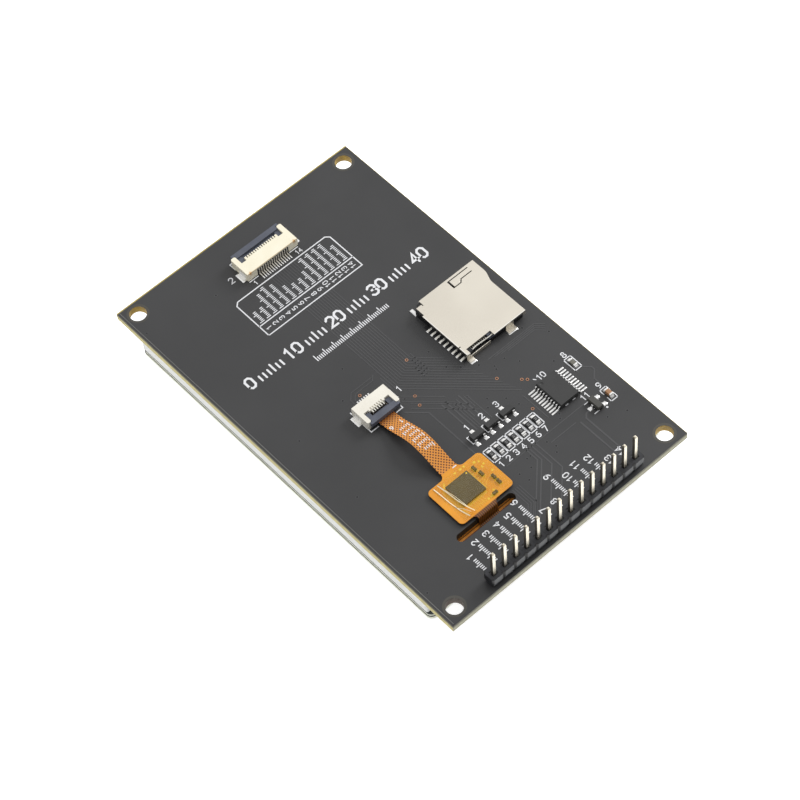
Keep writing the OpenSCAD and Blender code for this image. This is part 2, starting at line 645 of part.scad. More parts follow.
// ---------------------------------------------------------------- places in the display stack
frame_w = board_w - 2 * frame_side;
frame_y0 = edge_y + frame_foot;
frame_y1 = -edge_y - frame_head;
frame_l = frame_y1 - frame_y0;
frame_y = (frame_y0 + frame_y1) / 2;
lens_w = board_w - 2 * lens_side;
lens_y0 = frame_y0 - lens_past_foot;
lens_y1 = frame_y1 + lens_past_head;
lens_l = lens_y1 - lens_y0;
window_w = lens_w - 2 * border_side;
window_l = lens_l - border_foot - border_head;
window_y = lens_y0 + border_foot + window_l / 2;

// Layers of the cell and of the backlight, from the front to the back
polar_t = 0.15;
film_t = 0.1;
wall = 0.9;              // side walls of the backlight frame
z_polar = z_panel + 0.05;
z_front = z_polar + polar_t;
z_rear = z_front + cell_glass_t;
z_polar2 = z_rear + cell_glass_t;
z_prism = z_polar2 + polar_t;
z_diffuser = z_prism + film_t;
z_guide = z_diffuser + film_t;
z_reflector = z_back - film_t;
cell_w = frame_w - 2 * wall - 2 * gap;
cell_y1 = frame_y1 - wall - gap;
cell_y0 = frame_y0 + wall + gap;
seat = 0.7;              // shelf that the rear glass rests on
inner_w = cell_w - 2 * seat;
lamp_y = cell_y0 + seat + 0.7;
lamp_l = 0.8;
lamp_h = 0.55;
film_y0 = lamp_y + 1.4;
film_y1 = cell_y1 - seat;
panel_bond_z = z_rear - flex_t;

// ---------------------------------------------------------------- touch cable
// It is bonded to the sensor, folds round the end of the panel, comes up through the
// slot, lies on a foam pad with its chip, and bows over to the narrow socket.
pad_r = 0.9;
pad_x = slot_x + 1.82;   // middle of the chip carrying end
pad_y1 = slot_y + 10.35; // its edge nearest the narrow socket
pad_y0 = pad_y1 - pad_l;
neck_x = slot_x + 0.95;
tail_x = slot_x + 1.65;  // middle of the tail where it leaves the pad
pad_z = z_top + pad_rise + flex_t / 2;
cable_end_z = z_top + cable_z;
cable_end_y = narrow_at[1] - mouth_back - gap;
hump_y0 = pad_y1 - 0.4;  // the hump runs from here to the socket's mouth
hump_y1 = narrow_at[1] - arm_d(narrow) - lip_reach - 0.3;

wrap_r = (z_back + 0.02 + flex_t / 2 - (panel_bond_z + flex_t / 2)) / 2;
under_z = z_board - 0.08 - flex_t / 2;          // the touch cable under the board
drop_y = frame_y0 - 0.15 - wrap_r - 0.5;        // where it passes the end of the panel
rise_y = slot_y + slot_w / 2 - 0.42;            // where it rises through the slot
bend = 0.4;

function hump(t) = pad_z + (cable_end_z - pad_z) * t + tail_hump * pow(sin(180 * t), 2);

touch_path = concat(
    [[lens_y0 + 0.75, z_gasket + flex_t / 2], [drop_y + bend, z_gasket + flex_t / 2]],
    arc([drop_y + bend, z_gasket + flex_t / 2 + bend], bend, 265, 185),
    arc([drop_y + bend, under_z - bend], bend, 180, 95),
    [[rise_y - bend - 0.2, under_z]],
    arc([rise_y - bend, under_z + bend], bend, -85, 0),
    arc([rise_y + bend, pad_z - bend], bend, 180, 95),
    [[rise_y + bend + 0.3, pad_z]],
    [for (i = [0:20]) let (t = i / 20) [hump_y0 + (hump_y1 - hump_y0) * t, hump(t)]],
    [[cable_end_y, cable_end_z]]);

// A quarter fillet that fills the inner corner at c, towards the signs sx and sy
module inner_fillet(c, sx, sy, r) translate(c) difference() {
    translate([sx > 0 ? -e : -r, sy > 0 ? -e : -r]) square(r + e);
    translate([sx * r, sy * r]) circle(r);
}

module touch_plan() {
    translate([pad_x, (pad_y0 + pad_y1) / 2]) soft_rect(pad_w, pad_l, pad_r);
    polygon([[tail_x - tail_w / 2, pad_y1 - 1], [tail_x + tail_w / 2, pad_y1 - 1],
        [narrow_at[0] + tail_w / 2, hump_y1], [narrow_at[0] + tail_w / 2, cable_end_y + 1],
        [narrow_at[0] - tail_w / 2, cable_end_y + 1], [narrow_at[0] - tail_w / 2, hump_y1]]);
    translate([neck_x - neck_w / 2, drop_y - 1]) square([neck_w, pad_y0 - drop_y + 2]);
    for (s = [-1, 1]) {
        inner_fillet([tail_x + s * tail_w / 2, pad_y1], s, 1, 1);
        inner_fillet([neck_x + s * neck_w / 2, pad_y0], s, -1, 0.8);
    }
}

module touch_flex() color([0.95, 0.6, 0.15]) intersection() {
    along_x(board_w) polygon(strip(touch_path, flex_t));
    translate([0, 0, -1]) linear_extrude(z_top + 12) touch_plan();
}

module touch_stiffener() color([0.85, 0.6, 0.25])
    block([narrow_at[0] - tail_w / 2, hump_y1 - 0.2, cable_end_z - flex_t / 2 - 0.2],
        [narrow_at[0] + tail_w / 2, cable_end_y, cable_end_z - flex_t / 2]);

module touch_pad_foam() color([0.15, 0.15, 0.15]) translate([pad_x, (pad_y0 + pad_y1) / 2, z_top])
    linear_extrude(pad_rise) soft_rect(pad_w - 1.4, pad_l - 1.4, 0.5);

touch_z = z_top + pad_rise + flex_t;
touch_chip_at = [pad_x - 0.74, pad_y0 + 4.9];
touch_chip_h = 0.55;
small_cap = [0.5, 1, 0.4];
small_cap_at = [[3.05, 6.9, 0], [4.4, 3.4, 0], [4.4, 2.1, 0], [2.35, 0.85, 90], [3.3, 5.3, 0]];

module touch_chip() color([0.3, 0.3, 0.27])
    translate([touch_chip_at[0], touch_chip_at[1], touch_z + touch_chip_h / 2])
        cube([touch_chip_side, touch_chip_side, touch_chip_h], center = true);

module touch_capacitors() for (p = small_cap_at)
    translate([pad_x + p[0], pad_y0 + p[1], touch_z]) rotate([0, 0, p[2]])
        chip_part(small_cap[0], small_cap[1], small_cap[2], [0.5, 0.4, 0.3]);

// Film tape over the chip, down to the cable on both sides
tape_film_t = 0.05;
module touch_tape() color([0.98, 0.75, 0.2]) {
    low = touch_z + tape_film_t / 2 + 0.01;
    high = touch_z + touch_chip_h + tape_film_t / 2 + 0.01;
    mid = touch_z + small_cap[2] + tape_film_t / 2 + 0.03;
    x0 = touch_chip_at[0] - touch_chip_side / 2;
    x1 = touch_chip_at[0] + touch_chip_side / 2;
    end = pad_x + pad_w / 2;
    translate([0, (pad_y0 + pad_y1) / 2, 0]) along_y(pad_l - 0.5) polygon(strip([
        [x0 - 1.9, low], [x0 - 1, low], [x0 - 0.12, high], [x1 + 0.1, high], [x1 + 0.55, mid],
        [end - 0.95, mid], [end - 0.45, low], [end - 0.1, low]], tape_film_t));
}

// ---------------------------------------------------------------- display stack
lens_cy = (lens_y0 + lens_y1) / 2;

module layer(w, l, cy, z0, t, r = 0) translate([0, cy, z0]) linear_extrude(t)
    if (r > 0) soft_rect(w, l, r); else square([w, l], center = true);

module cover_lens() color([0.1, 0.11, 0.13, 0.6]) layer(lens_w, lens_l, lens_cy, 0, lens_t, lens_r);

module lens_border() color([0.03, 0.03, 0.03]) difference() {
    layer(lens_w, lens_l, lens_cy, z_bond, bond_t, lens_r);
    layer(window_w, window_l, window_y, z_bond - e, bond_t + 2 * e);
}

module lens_bond() color([0.9, 0.9, 0.95, 0.4]) layer(window_w, window_l, window_y, z_bond, bond_t);
module touch_sensor() color([0.8, 0.85, 0.85, 0.4])
    layer(lens_w - 0.2, lens_l - 0.2, lens_cy, z_sensor, sensor_t, lens_r);

gasket_w = 1.6;
module gasket() color([0.08, 0.08, 0.08]) difference() {
    layer(frame_w - 0.6, frame_l - 0.5, frame_y, z_gasket, gasket_t);
    layer(frame_w - 0.6 - 2 * gasket_w, frame_l - 0.5 - 2 * gasket_w, frame_y, z_gasket - e, gasket_t + 2 * e);
}

function mid(a, b) = (a + b) / 2;

module front_polariser() color([0.12, 0.14, 0.15])
    layer(cell_w - 0.8, cell_y1 - cell_y0 - ledge_l - 0.8, mid(cell_y1, cell_y0 + ledge_l), z_polar, polar_t);
module front_glass() color([0.75, 0.8, 0.8, 0.5])
    layer(cell_w, cell_y1 - cell_y0 - ledge_l, mid(cell_y1, cell_y0 + ledge_l), z_front, cell_glass_t);
module rear_glass() color([0.75, 0.8, 0.8, 0.5])
    layer(cell_w, cell_y1 - cell_y0, mid(cell_y1, cell_y0), z_rear, cell_glass_t);
module rear_polariser() color([0.14, 0.15, 0.16])
    layer(inner_w - 2 * gap, film_y1 - film_y0 - 2 * gap, mid(film_y0, film_y1), z_polar2, polar_t);
module prism_film() color([0.9, 0.92, 0.95])
    layer(inner_w - 2 * gap, film_y1 - film_y0 - 2 * gap, mid(film_y0, film_y1), z_prism, film_t);
module diffuser() color([0.97, 0.97, 0.97])
    layer(inner_w - 2 * gap, film_y1 - film_y0 - 2 * gap, mid(film_y0, film_y1), z_diffuser, film_t);
module light_guide() color([0.9, 0.95, 0.95, 0.6])
    layer(inner_w - 2 * gap, film_y1 - gap - lamp_y - lamp_l / 2 - gap,
        mid(film_y1 - gap, lamp_y + lamp_l / 2 + gap),
        z_guide, z_reflector - z_guide);
module reflector() color([0.96, 0.96, 0.97])
    layer(cell_w - 2 * gap, cell_y1 - cell_y0 - 2 * gap, mid(cell_y0, cell_y1), z_reflector, film_t);

module backlight_frame() color([0.95, 0.95, 0.94]) difference() {
    layer(frame_w, frame_l, frame_y, z_panel, panel_t, 0.4);
    // pocket for the cell, opening for the films and pocket for the reflector sheet
    layer(frame_w - 2 * wall, frame_l - 2 * wall, frame_y, z_panel - e, z_polar2 - z_panel + e);
    layer(inner_w, cell_y1 - cell_y0 - 2 * seat, mid(cell_y0, cell_y1), z_panel, panel_t + e);
    layer(frame_w - 2 * wall, frame_l - 2 * wall, frame_y, z_reflector, film_t + e);
    // way out for the display's flat cable
    block([-panel_flex_w / 2 - 0.3, frame_y0 - e, z_panel - e],
        [panel_flex_w / 2 + 0.3, frame_y0 + wall + e, z_rear + gap]);
}

led_margin = 4;          // first lamp's middle to the end of the row's room
function led_xs() = [for (i = [0:led_n - 1])
    (i - (led_n - 1) / 2) * (inner_w - 2 * led_margin) / (led_n - 1)];
lamp_w = 3;
module leds() color([0.95, 0.93, 0.7]) for (x = led_xs())
    translate([x - lamp_w / 2, lamp_y - lamp_l / 2, z_guide])
        cube([lamp_w, lamp_l, min(lamp_h, z_reflector - z_guide)]);
module led_flex() color([0.93, 0.6, 0.2])
    layer(inner_w - 2, 1.5, lamp_y + 0.1, z_guide - film_t, film_t);

driver_size = [15, 0.9, 0.3];
module driver_chip() color([0.2, 0.2, 0.22])
    translate([0, cell_y0 + ledge_l / 2 + 0.1, z_rear - driver_size[2] / 2]) cube(driver_size, center = true);

panel_tail_y = slot_y + 6;   // soldered end of the display's cable
panel_tail_w = 18;
fold_y = frame_y0 - 2 * wrap_r - 1;   // clear of the fold past the frame
panel_waist_y = slot_y + 1.8;   // where the cable draws in to its tail
panel_path = concat(
    [[cell_y0 + 1, panel_bond_z + flex_t / 2]],
    arc([frame_y0 - 0.15, panel_bond_z + flex_t / 2 + wrap_r], wrap_r, 270, 90, 12),
    [[panel_tail_y, panel_bond_z + flex_t / 2 + 2 * wrap_r]]);

module panel_flex() color([0.95, 0.6, 0.15]) intersection() {
    along_x(panel_flex_w) polygon(strip(panel_path, flex_t));
    linear_extrude(z_top) {
        translate([-panel_flex_w / 2, fold_y]) square([panel_flex_w, panel_waist_y - fold_y]);
        translate([-panel_tail_w / 2, frame_y0]) square([panel_tail_w, panel_tail_y - frame_y0 + 1]);
    }
}

// Double sided tape: a strip along each long side and one along the top
tape_w = 4;
tape_inset = 4;          // frame edge to the middle of a long strip
tape_clear = 18;         // kept free for the folded cables at the header end
module mounting_tape() color([0.93, 0.93, 0.93]) translate([0, 0, z_back]) linear_extrude(tape_t) {
    for (s = [-1, 1]) translate([s * (frame_w / 2 - tape_inset) - tape_w / 2, frame_y0 + tape_clear])
        square([tape_w, frame_l - tape_clear - tape_inset - tape_w]);
    translate([-frame_w / 2 + 10, frame_y1 - tape_inset - tape_w / 2]) square([frame_w - 20, tape_w]);
}

circuit_board();
header_body();
header_pins();
header_solder();
wide_socket();
wide_contacts();
wide_latch();
wide_anchors();
narrow_socket();
narrow_contacts();
narrow_latch();
narrow_anchors();
card_shell();
card_base();
card_contacts();
card_slider();
card_spring();
card_cam_wire();
logic_chip();
logic_leads();
regulator();
regulator_leads();
transistor(0);  // transistor_1
transistor(1);  // transistor_2
transistor(2);  // transistor_3
transistor_leads();
resistor(0);  // resistor_1
resistor(1);  // resistor_2
resistor(2);  // resistor_3
resistor(3);  // resistor_4
resistor(4);  // resistor_5
resistor(5);  // resistor_6
resistor(6);  // resistor_7
resistor(7);  // resistor_8
supply_capacitor();
touch_flex();
touch_stiffener();
touch_pad_foam();
touch_chip();
touch_capacitors();
touch_tape();
cover_lens();
lens_border();
lens_bond();
touch_sensor();
gasket();
front_polariser();
front_glass();
rear_glass();
rear_polariser();
prism_film();
diffuser();
light_guide();
reflector();
backlight_frame();
leds();
led_flex();
driver_chip();
panel_flex();
mounting_tape();
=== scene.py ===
import json
import math

import bmesh
import bpy
from mathutils import Matrix, Vector
from mathutils.bvhtree import BVHTree

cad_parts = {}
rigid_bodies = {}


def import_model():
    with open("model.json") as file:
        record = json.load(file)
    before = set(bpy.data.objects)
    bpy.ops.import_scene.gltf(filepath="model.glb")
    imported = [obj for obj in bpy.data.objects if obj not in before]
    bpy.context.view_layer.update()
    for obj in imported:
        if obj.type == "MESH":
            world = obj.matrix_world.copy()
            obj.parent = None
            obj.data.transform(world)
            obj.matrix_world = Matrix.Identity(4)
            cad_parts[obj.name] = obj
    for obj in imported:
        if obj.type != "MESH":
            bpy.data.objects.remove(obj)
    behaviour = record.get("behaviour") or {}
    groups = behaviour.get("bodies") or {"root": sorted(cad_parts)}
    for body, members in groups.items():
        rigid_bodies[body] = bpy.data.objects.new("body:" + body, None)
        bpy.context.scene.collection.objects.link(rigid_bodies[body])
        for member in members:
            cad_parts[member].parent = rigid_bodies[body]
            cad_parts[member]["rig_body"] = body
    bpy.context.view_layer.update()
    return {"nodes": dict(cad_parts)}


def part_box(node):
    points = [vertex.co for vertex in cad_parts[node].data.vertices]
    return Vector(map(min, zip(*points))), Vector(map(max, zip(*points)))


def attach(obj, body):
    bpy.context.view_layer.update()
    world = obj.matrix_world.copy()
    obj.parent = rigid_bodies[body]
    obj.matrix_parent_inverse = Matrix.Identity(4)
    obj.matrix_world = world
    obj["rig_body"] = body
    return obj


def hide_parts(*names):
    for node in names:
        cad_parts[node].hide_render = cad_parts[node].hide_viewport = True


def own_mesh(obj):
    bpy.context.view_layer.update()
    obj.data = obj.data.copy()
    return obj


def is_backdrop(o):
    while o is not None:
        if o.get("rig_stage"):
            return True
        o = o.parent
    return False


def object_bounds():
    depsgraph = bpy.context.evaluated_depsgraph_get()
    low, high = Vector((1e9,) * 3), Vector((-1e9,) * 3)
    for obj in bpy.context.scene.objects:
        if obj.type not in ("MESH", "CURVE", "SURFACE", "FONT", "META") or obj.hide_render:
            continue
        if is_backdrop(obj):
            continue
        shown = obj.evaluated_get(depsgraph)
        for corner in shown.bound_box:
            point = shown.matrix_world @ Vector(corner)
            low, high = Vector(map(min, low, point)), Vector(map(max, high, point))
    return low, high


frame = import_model()
nodes = frame["nodes"]
mm = 0.001


# ------------------------ circuit board
# Glass fibre laminate with a satin black solder mask on both faces. Its routed
# edges and the walls of its plain mounting holes show the khaki laminate.
board_low, board_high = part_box("circuit_board")
top = board_high.z / mm              # height of the mask's surface
foot_y = board_low.y / mm            # header edge
side_x = board_high.x / mm


def rgb(red, green, blue):
    """A colour given as screen values, for a shader."""
    def light(v):
        v = v / 255
        return v / 12.92 if v <= 0.04045 else ((v + 0.055) / 1.055) ** 2.4
    return (light(red), light(green), light(blue), 1)


def calc(tree, operation, first, second=None, third=None, clamp=False):
    """One Math node; each input is a socket or a number."""
    node = tree.nodes.new("ShaderNodeMath")
    node.operation = operation
    node.use_clamp = clamp
    for i, value in enumerate((first, second, third)):
        if isinstance(value, (int, float)):
            node.inputs[i].default_value = value
        elif value is not None:
            tree.links.new(value, node.inputs[i])
    return node.outputs[0]


MIX_UNDER, MIX_OVER, MIX_OUT = 6, 7, 2       # the colour sockets of a Mix node


def fine_finish_group():
    """Soft patches and a fine grain: colour, roughness and height that change over a surface."""
    group = bpy.data.node_groups.new("fine_finish", "ShaderNodeTree")
    for label, kind, value in (("Colour", "Color", (0.5, 0.5, 0.5, 1)), ("Shade", "Color", (0.4, 0.4, 0.4, 1)),
                               ("Patches", "Float", 200), ("Grain", "Float", 4000),
                               ("Smooth", "Float", 0.3), ("Dull", "Float", 0.5)):
        group.interface.new_socket(label, in_out="INPUT", socket_type="NodeSocket" + kind).default_value = value
    for label, kind in (("Color", "Color"), ("Roughness", "Float"), ("Height", "Float")):
        group.interface.new_socket(label, in_out="OUTPUT", socket_type="NodeSocket" + kind)
    new, link = group.nodes.new, group.links.new
    given, out, where = new("NodeGroupInput"), new("NodeGroupOutput"), new("ShaderNodeTexCoord")
    patch, grain = new("ShaderNodeTexNoise"), new("ShaderNodeTexNoise")
    for noise, size, detail in ((patch, "Patches", 3), (grain, "Grain", 2)):
        noise.inputs["Detail"].default_value = detail
        link(where.outputs["Object"], noise.inputs["Vector"])
        link(given.outputs[size], noise.inputs["Scale"])
    both = calc(group, "MULTIPLY_ADD", grain.outputs["Fac"], 0.4, calc(group, "MULTIPLY", patch.outputs["Fac"], 0.6))
    spread, mix, rough = new("ShaderNodeMapRange"), new("ShaderNodeMix"), new("ShaderNodeMapRange")
    spread.inputs["From Min"].default_value = 0.36      # where the two noises mostly lie
    spread.inputs["From Max"].default_value = 0.64
    mix.data_type = "RGBA"
    for start, end in (
            (both, spread.inputs["Value"]), (spread.outputs["Result"], mix.inputs["Factor"]),
            (given.outputs["Shade"], mix.inputs[MIX_UNDER]), (given.outputs["Colour"], mix.inputs[MIX_OVER]),
            (spread.outputs["Result"], rough.inputs["Value"]), (given.outputs["Smooth"], rough.inputs["To Min"]),
            (given.outputs["Dull"], rough.inputs["To Max"]), (mix.outputs[MIX_OUT], out.inputs["Color"]),
            (rough.outputs["Result"], out.inputs["Roughness"]), (grain.outputs["Fac"], out.inputs["Height"])):
        link(start, end)
    return group


fine_finish = fine_finish_group()


def surface(name, colour, shade, smooth, dull, patches=200, grain=6000, bump=0.1, depth=0.02, metallic=0.0):
    """A material with the fine finish; depth is the height of its grain in mm."""
    made = bpy.data.materials.new(name)
    made.use_nodes = True
    tree = made.node_tree
    shader = tree.nodes["Principled BSDF"]
    finish = tree.nodes.new("ShaderNodeGroup")
    finish.name = "finish"
    finish.node_tree = fine_finish
    for label, value in (("Colour", colour), ("Shade", shade), ("Patches", patches), ("Grain", grain),
                         ("Smooth", smooth), ("Dull", dull)):
        finish.inputs[label].default_value = value
    relief = tree.nodes.new("ShaderNodeBump")
    relief.inputs["Strength"].default_value = bump
    relief.inputs["Distance"].default_value = depth * mm
    for given, taken in ((finish.outputs["Color"], shader.inputs["Base Color"]),
                         (finish.outputs["Roughness"], shader.inputs["Roughness"]),
                         (finish.outputs["Height"], relief.inputs["Height"]),
                         (relief.outputs["Normal"], shader.inputs["Normal"])):
        tree.links.new(given, taken)
    shader.inputs["Metallic"].default_value = metallic
    return made


def smooth_by_angle(mesh):
    """Round faces shade smoothly and corners stay crisp."""
    mesh.polygons.foreach_set("use_smooth", [True] * len(mesh.polygons))
    work = bmesh.new()
    work.from_mesh(mesh)
    for edge in work.edges:
        edge.smooth = len(edge.link_faces) == 2 and edge.calc_face_angle(0) < math.radians(35)
    work.to_mesh(mesh)
    work.free()


def settle(piece):
    """Applies what modifiers a piece has."""
    graph = bpy.context.evaluated_depsgraph_get()
    final = bpy.data.meshes.new_from_object(piece.evaluated_get(graph))
    piece.modifiers.clear()
    piece.data = final


def placed(name, data):
    """A new object in the scene."""
    made = bpy.data.objects.new(name, data)
    bpy.context.scene.collection.objects.link(made)
    return made


def dressed(node, finish, edge=0.04, steps=2, merge=True):
    """A copy of a solid with its real, slightly round edges; edge is their width in mm."""
    source = nodes[node]
    mesh = source.data.copy()
    work = bmesh.new()
    work.from_mesh(mesh)
    bmesh.ops.remove_doubles(work, verts=work.verts, dist=1e-6)
    if merge:
        bmesh.ops.dissolve_limit(work, angle_limit=math.radians(1), verts=work.verts, edges=work.edges)
    work.to_mesh(mesh)
    work.free()
    mesh.materials.clear()
    mesh.materials.append(finish)
    piece = placed(node + "_dressed", mesh)
    if edge:
        bevel = piece.modifiers.new("edges", "BEVEL")
        bevel.width = edge * mm
        bevel.segments = steps
        bevel.limit_method = "ANGLE"
        bevel.angle_limit = math.radians(30)
        settle(piece)
    smooth_by_angle(piece.data)
    level = piece.modifiers.new("level_faces", "WEIGHTED_NORMAL")
    level.keep_sharp = True
    settle(piece)
    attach(piece, source["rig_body"])
    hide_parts(node)
    return piece


mask = surface("board_mask", rgb(57, 57, 58), rgb(49, 49, 50), 0.4, 0.5, patches=60, grain=9000, bump=0.06, depth=0.01)
# the front edge's copy of the laminate is greyer: painted shade
laminate, front_shade, drilled = (
    surface(name, colour, shade, smooth, smooth + 0.2, patches=900, grain=9000, bump=bump)
    for name, colour, shade, smooth, bump in (
        ("board_laminate", rgb(198, 188, 132), rgb(170, 160, 108), 0.6, 0.4),
        ("front_edge_shade_laminate", rgb(172, 170, 148), rgb(142, 140, 120), 0.6, 0.4),
        ("drilled_laminate", rgb(182, 154, 62), rgb(146, 118, 40), 0.5, 0.3)))
# the slot's walls are near black: painted shade inside the slot
slot_shade = surface("slot_wall_shade", rgb(46, 46, 38), rgb(30, 30, 26), 0.5, 0.7, patches=600)


def place(tree):
    """The place on the object, as three sockets in metres."""
    where, split = tree.nodes.new("ShaderNodeTexCoord"), tree.nodes.new("ShaderNodeSeparateXYZ")
    tree.links.new(where.outputs["Object"], split.inputs[0])
    return [split.outputs[axis] for axis in "XYZ"]


def ramp(tree, value, start, end):
    """0 below start, 1 above end; both in mm, and end may be the lower one."""
    return calc(tree, "MULTIPLY_ADD", value, 1 / ((end - start) * mm), -start / (end - start), clamp=True)


def tint(tree, amount, colour):
    """Blends another colour over what already feeds the shader."""
    shader = tree.nodes["Principled BSDF"]
    mix = tree.nodes.new("ShaderNodeMix")
    mix.data_type = "RGBA"
    tree.links.new(shader.inputs["Base Color"].links[0].from_socket, mix.inputs[MIX_UNDER])
    mix.inputs[MIX_OVER].default_value = colour
    tree.links.new(amount, mix.inputs["Factor"])
    tree.links.new(mix.outputs[MIX_OUT], shader.inputs["Base Color"])


# the cut edge is darker towards its top, and the front edge is a greyer copy of the laminate: painted shade
for edge in (laminate, front_shade):
    tree = edge.node_tree
    x, y, z = place(tree)
    ragged = calc(tree, "MULTIPLY_ADD", tree.nodes["finish"].outputs["Height"], 0.4 * mm, z)
    tint(tree, calc(tree, "MULTIPLY", ramp(tree, ragged, top - 0.5, top - 0.1), 0.85), rgb(78, 76, 62))
# one corner hole's wall is darker
tree = drilled.node_tree
x, y, z = place(tree)
tint(tree, calc(tree, "MULTIPLY", ramp(tree, x, -10, -20), ramp(tree, y, -10, -20)), rgb(84, 72, 62))
board = dressed("circuit_board", mask, edge=0, merge=False)
board_walls = (laminate, slot_shade, front_shade, drilled)
for finish in board_walls:
    board.data.materials.append(finish)
slot_y, slot_x0, slot_x1 = foot_y + 11.72, -15.7, -2.3
hole_x, hole_y = side_x - 2.85, -foot_y - 2.7
hole_reach = 1.8                     # a little more than a mounting hole's radius
for face in board.data.polygons:
    x, y = face.center.x / mm, face.center.y / mm
    if abs(face.normal.z) > 0.9:
        continue
    # the slot's walls take the painted shade
    if abs(y - slot_y) < 1 and slot_x0 < x < slot_x1:
        wall = slot_shade
    elif math.hypot(abs(x) - hole_x, abs(y) - hole_y) < hole_reach:
        wall = drilled
    else:
        # the front edge takes the greyer copy, painted shade
        wall = front_shade if face.normal.y < -0.9 else laminate
    face.material_index = 1 + board_walls.index(wall)


# ------------------------ copper under the mask
# Etched tracks show as low ridges, a little lighter than the mask around them.
# Vias are plated holes, most of them closed by the mask.
class Pile:
    """Gathers the corners and faces of many small pieces of one kind."""

    def __init__(self):
        self.points, self.faces = [], []

    def prism(self, outline, z0, z1):
        """A closed prism on an outline; z0 and z1 may depend on the place."""
        start, count = len(self.points), len(outline)
        low = z0 if callable(z0) else (lambda x, y: z0)
        high = z1 if callable(z1) else (lambda x, y: z1)
        self.points += [(x * mm, y * mm, low(x, y) * mm) for x, y in outline]
        self.points += [(x * mm, y * mm, high(x, y) * mm) for x, y in outline]
        self.faces.append([start + i for i in range(count)][::-1])
        self.faces.append([start + count + i for i in range(count)])
        for i in range(count):
            j = (i + 1) % count
            self.faces.append([start + i, start + j, start + count + j, start + count + i])

    def box(self, x0, x1, y0, y1, z0, z1):
        self.prism([(x0, y0), (x1, y0), (x1, y1), (x0, y1)], z0, z1)

    def mound(self, x0, x1, y0, y1, z0, z1, draw):
        """A low block whose top is drawn in on all sides, as solder on a pad is."""
        start = len(self.points)
        for inset, z in ((0, z0), (draw * 0.25, z0 + (z1 - z0) * 0.6), (draw, z1)):
            a, b, c, d = x0 + inset, x1 - inset, y0 + inset, y1 - inset
            self.points += [(x * mm, y * mm, z * mm) for x, y in ((a, c), (b, c), (b, d), (a, d))]
        self.faces.append([start + 3, start + 2, start + 1, start])
        self.faces.append([start + 8, start + 9, start + 10, start + 11])
        for ring in (0, 4):
            for i in range(4):
                j = (i + 1) % 4
                self.faces.append([start + ring + i, start + ring + j, start + ring + 4 + j, start + ring + 4 + i])

    @staticmethod
    def circle(x, y, radius, sides):
        turns = [2 * math.pi * i / sides for i in range(sides)]
        return [(x + radius * math.cos(turn), y + radius * math.sin(turn)) for turn in turns]

    def ring(self, x, y, inner, outer, z0, z1, sides=20):
        start = len(self.points)
        for radius, z in ((inner, z0), (outer, z0), (outer, z1), (inner, z1)):
            self.points += [(u * mm, v * mm, z * mm) for u, v in self.circle(x, y, radius, sides)]
        for band in range(4):
            for i in range(sides):
                j = (i + 1) % sides
                a, b = start + band * sides, start + (band + 1) % 4 * sides
                self.faces.append([a + i, a + j, b + j, b + i])

    def disc(self, x, y, radius, z0, z1, sides=20):
        self.prism(self.circle(x, y, radius, sides), z0, z1)

    def stroke(self, points, width, z0, z1, caps=True):
        """A drawn line of some width along points, with mitred corners and round ends."""
        path = [Vector(p) for p in points]
        half = width / 2
        left, right = [], []
        for i, here in enumerate(path):
            before = (here - path[i - 1]).normalized() if i else None
            after = (path[i + 1] - here).normalized() if i + 1 < len(path) else None
            one, two = before or after, after or before
            mean = (one + two).normalized()
            side = Vector((-mean.y, mean.x)) * half / max(0.5, mean.dot(one))
            left.append(here + side)
            right.append(here - side)
        outline = list(right)
        if caps:
            outline += self.cap(path[-1], path[-1] - path[-2], half)
        outline += left[::-1]
        if caps:
            outline += self.cap(path[0], path[0] - path[1], half)
        self.prism([tuple(p) for p in outline], z0, z1)

    @staticmethod
    def cap(end, heading, half):
        aim = math.atan2(heading.y, heading.x)
        return [end + half * Vector((math.cos(aim + math.radians(a)), math.sin(aim + math.radians(a))))
                for a in (-45, 0, 45)]

    def piece(self, name, finish, slot):
        """Makes one object of what was gathered."""
        mesh = bpy.data.meshes.new(name)
        mesh.from_pydata(self.points, [], self.faces)
        work = bmesh.new()
        work.from_mesh(mesh)
        bmesh.ops.recalc_face_normals(work, faces=work.faces)
        work.to_mesh(mesh)
        work.free()
        mesh.materials.append(finish)
        smooth_by_angle(mesh)
        made = placed(name, mesh)
        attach(made, "module")


sunk = top - 0.01                    # small pieces reach a little into the mask
tracks = Pile()


def track(*points, width=0.16):
    tracks.stroke(points, width, sunk, top + 0.025)


# the bundle from the wide socket runs down the middle, turns and crosses to the logic chip
for i in range(13):
    x = -2.32 + i * 0.52
    turn = -2.6 + i * 0.26
    reach = 15.6 - i * 0.95
    track((x, 31.2), (x, turn), (x + reach, turn - reach))
for i, (x, y) in enumerate(((-2.9, -4.3), (-3.4, -5.4), (-2.6, -6.7), (-3.2, -7.6))):
    track((x, y), (x + 5.6 + i, y - 5.6 - i))
track((-4.6, -7.4), (-1.6, -10.4), (-1.6, -23.5), (0.2, -25.3), width=0.26)
for x, y0, y1, width in ((1.1, -10.9, -16.2, 0.28), (2.0, -10.6, -19.0, 0.26), (2.6, -12.0, -19.0, 0.16),
                         (3.1, -12.4, -19.0, 0.16), (3.65, -11.7, -16.4, 0.2), (4.5, -11.4, -16.4, 0.28),
                         (5.1, -12.0, -15.0, 0.16), (5.6, -12.5, -19.0, 0.16), (3.15, -1.7, -4.0, 0.3),
                         (3.8, 0.2, -4.0, 0.16), (4.5, 1.2, -3.7, 0.16), (-2.85, 1.0, -2.2, 0.16),
                         (15.9, -30.3, -40.4, 0.3), (22.9, -18.6, -22.5, 0.2), (12.6, -19.4, -25.6, 0.2)):
    track((x, y0), (x, y1), width=width)
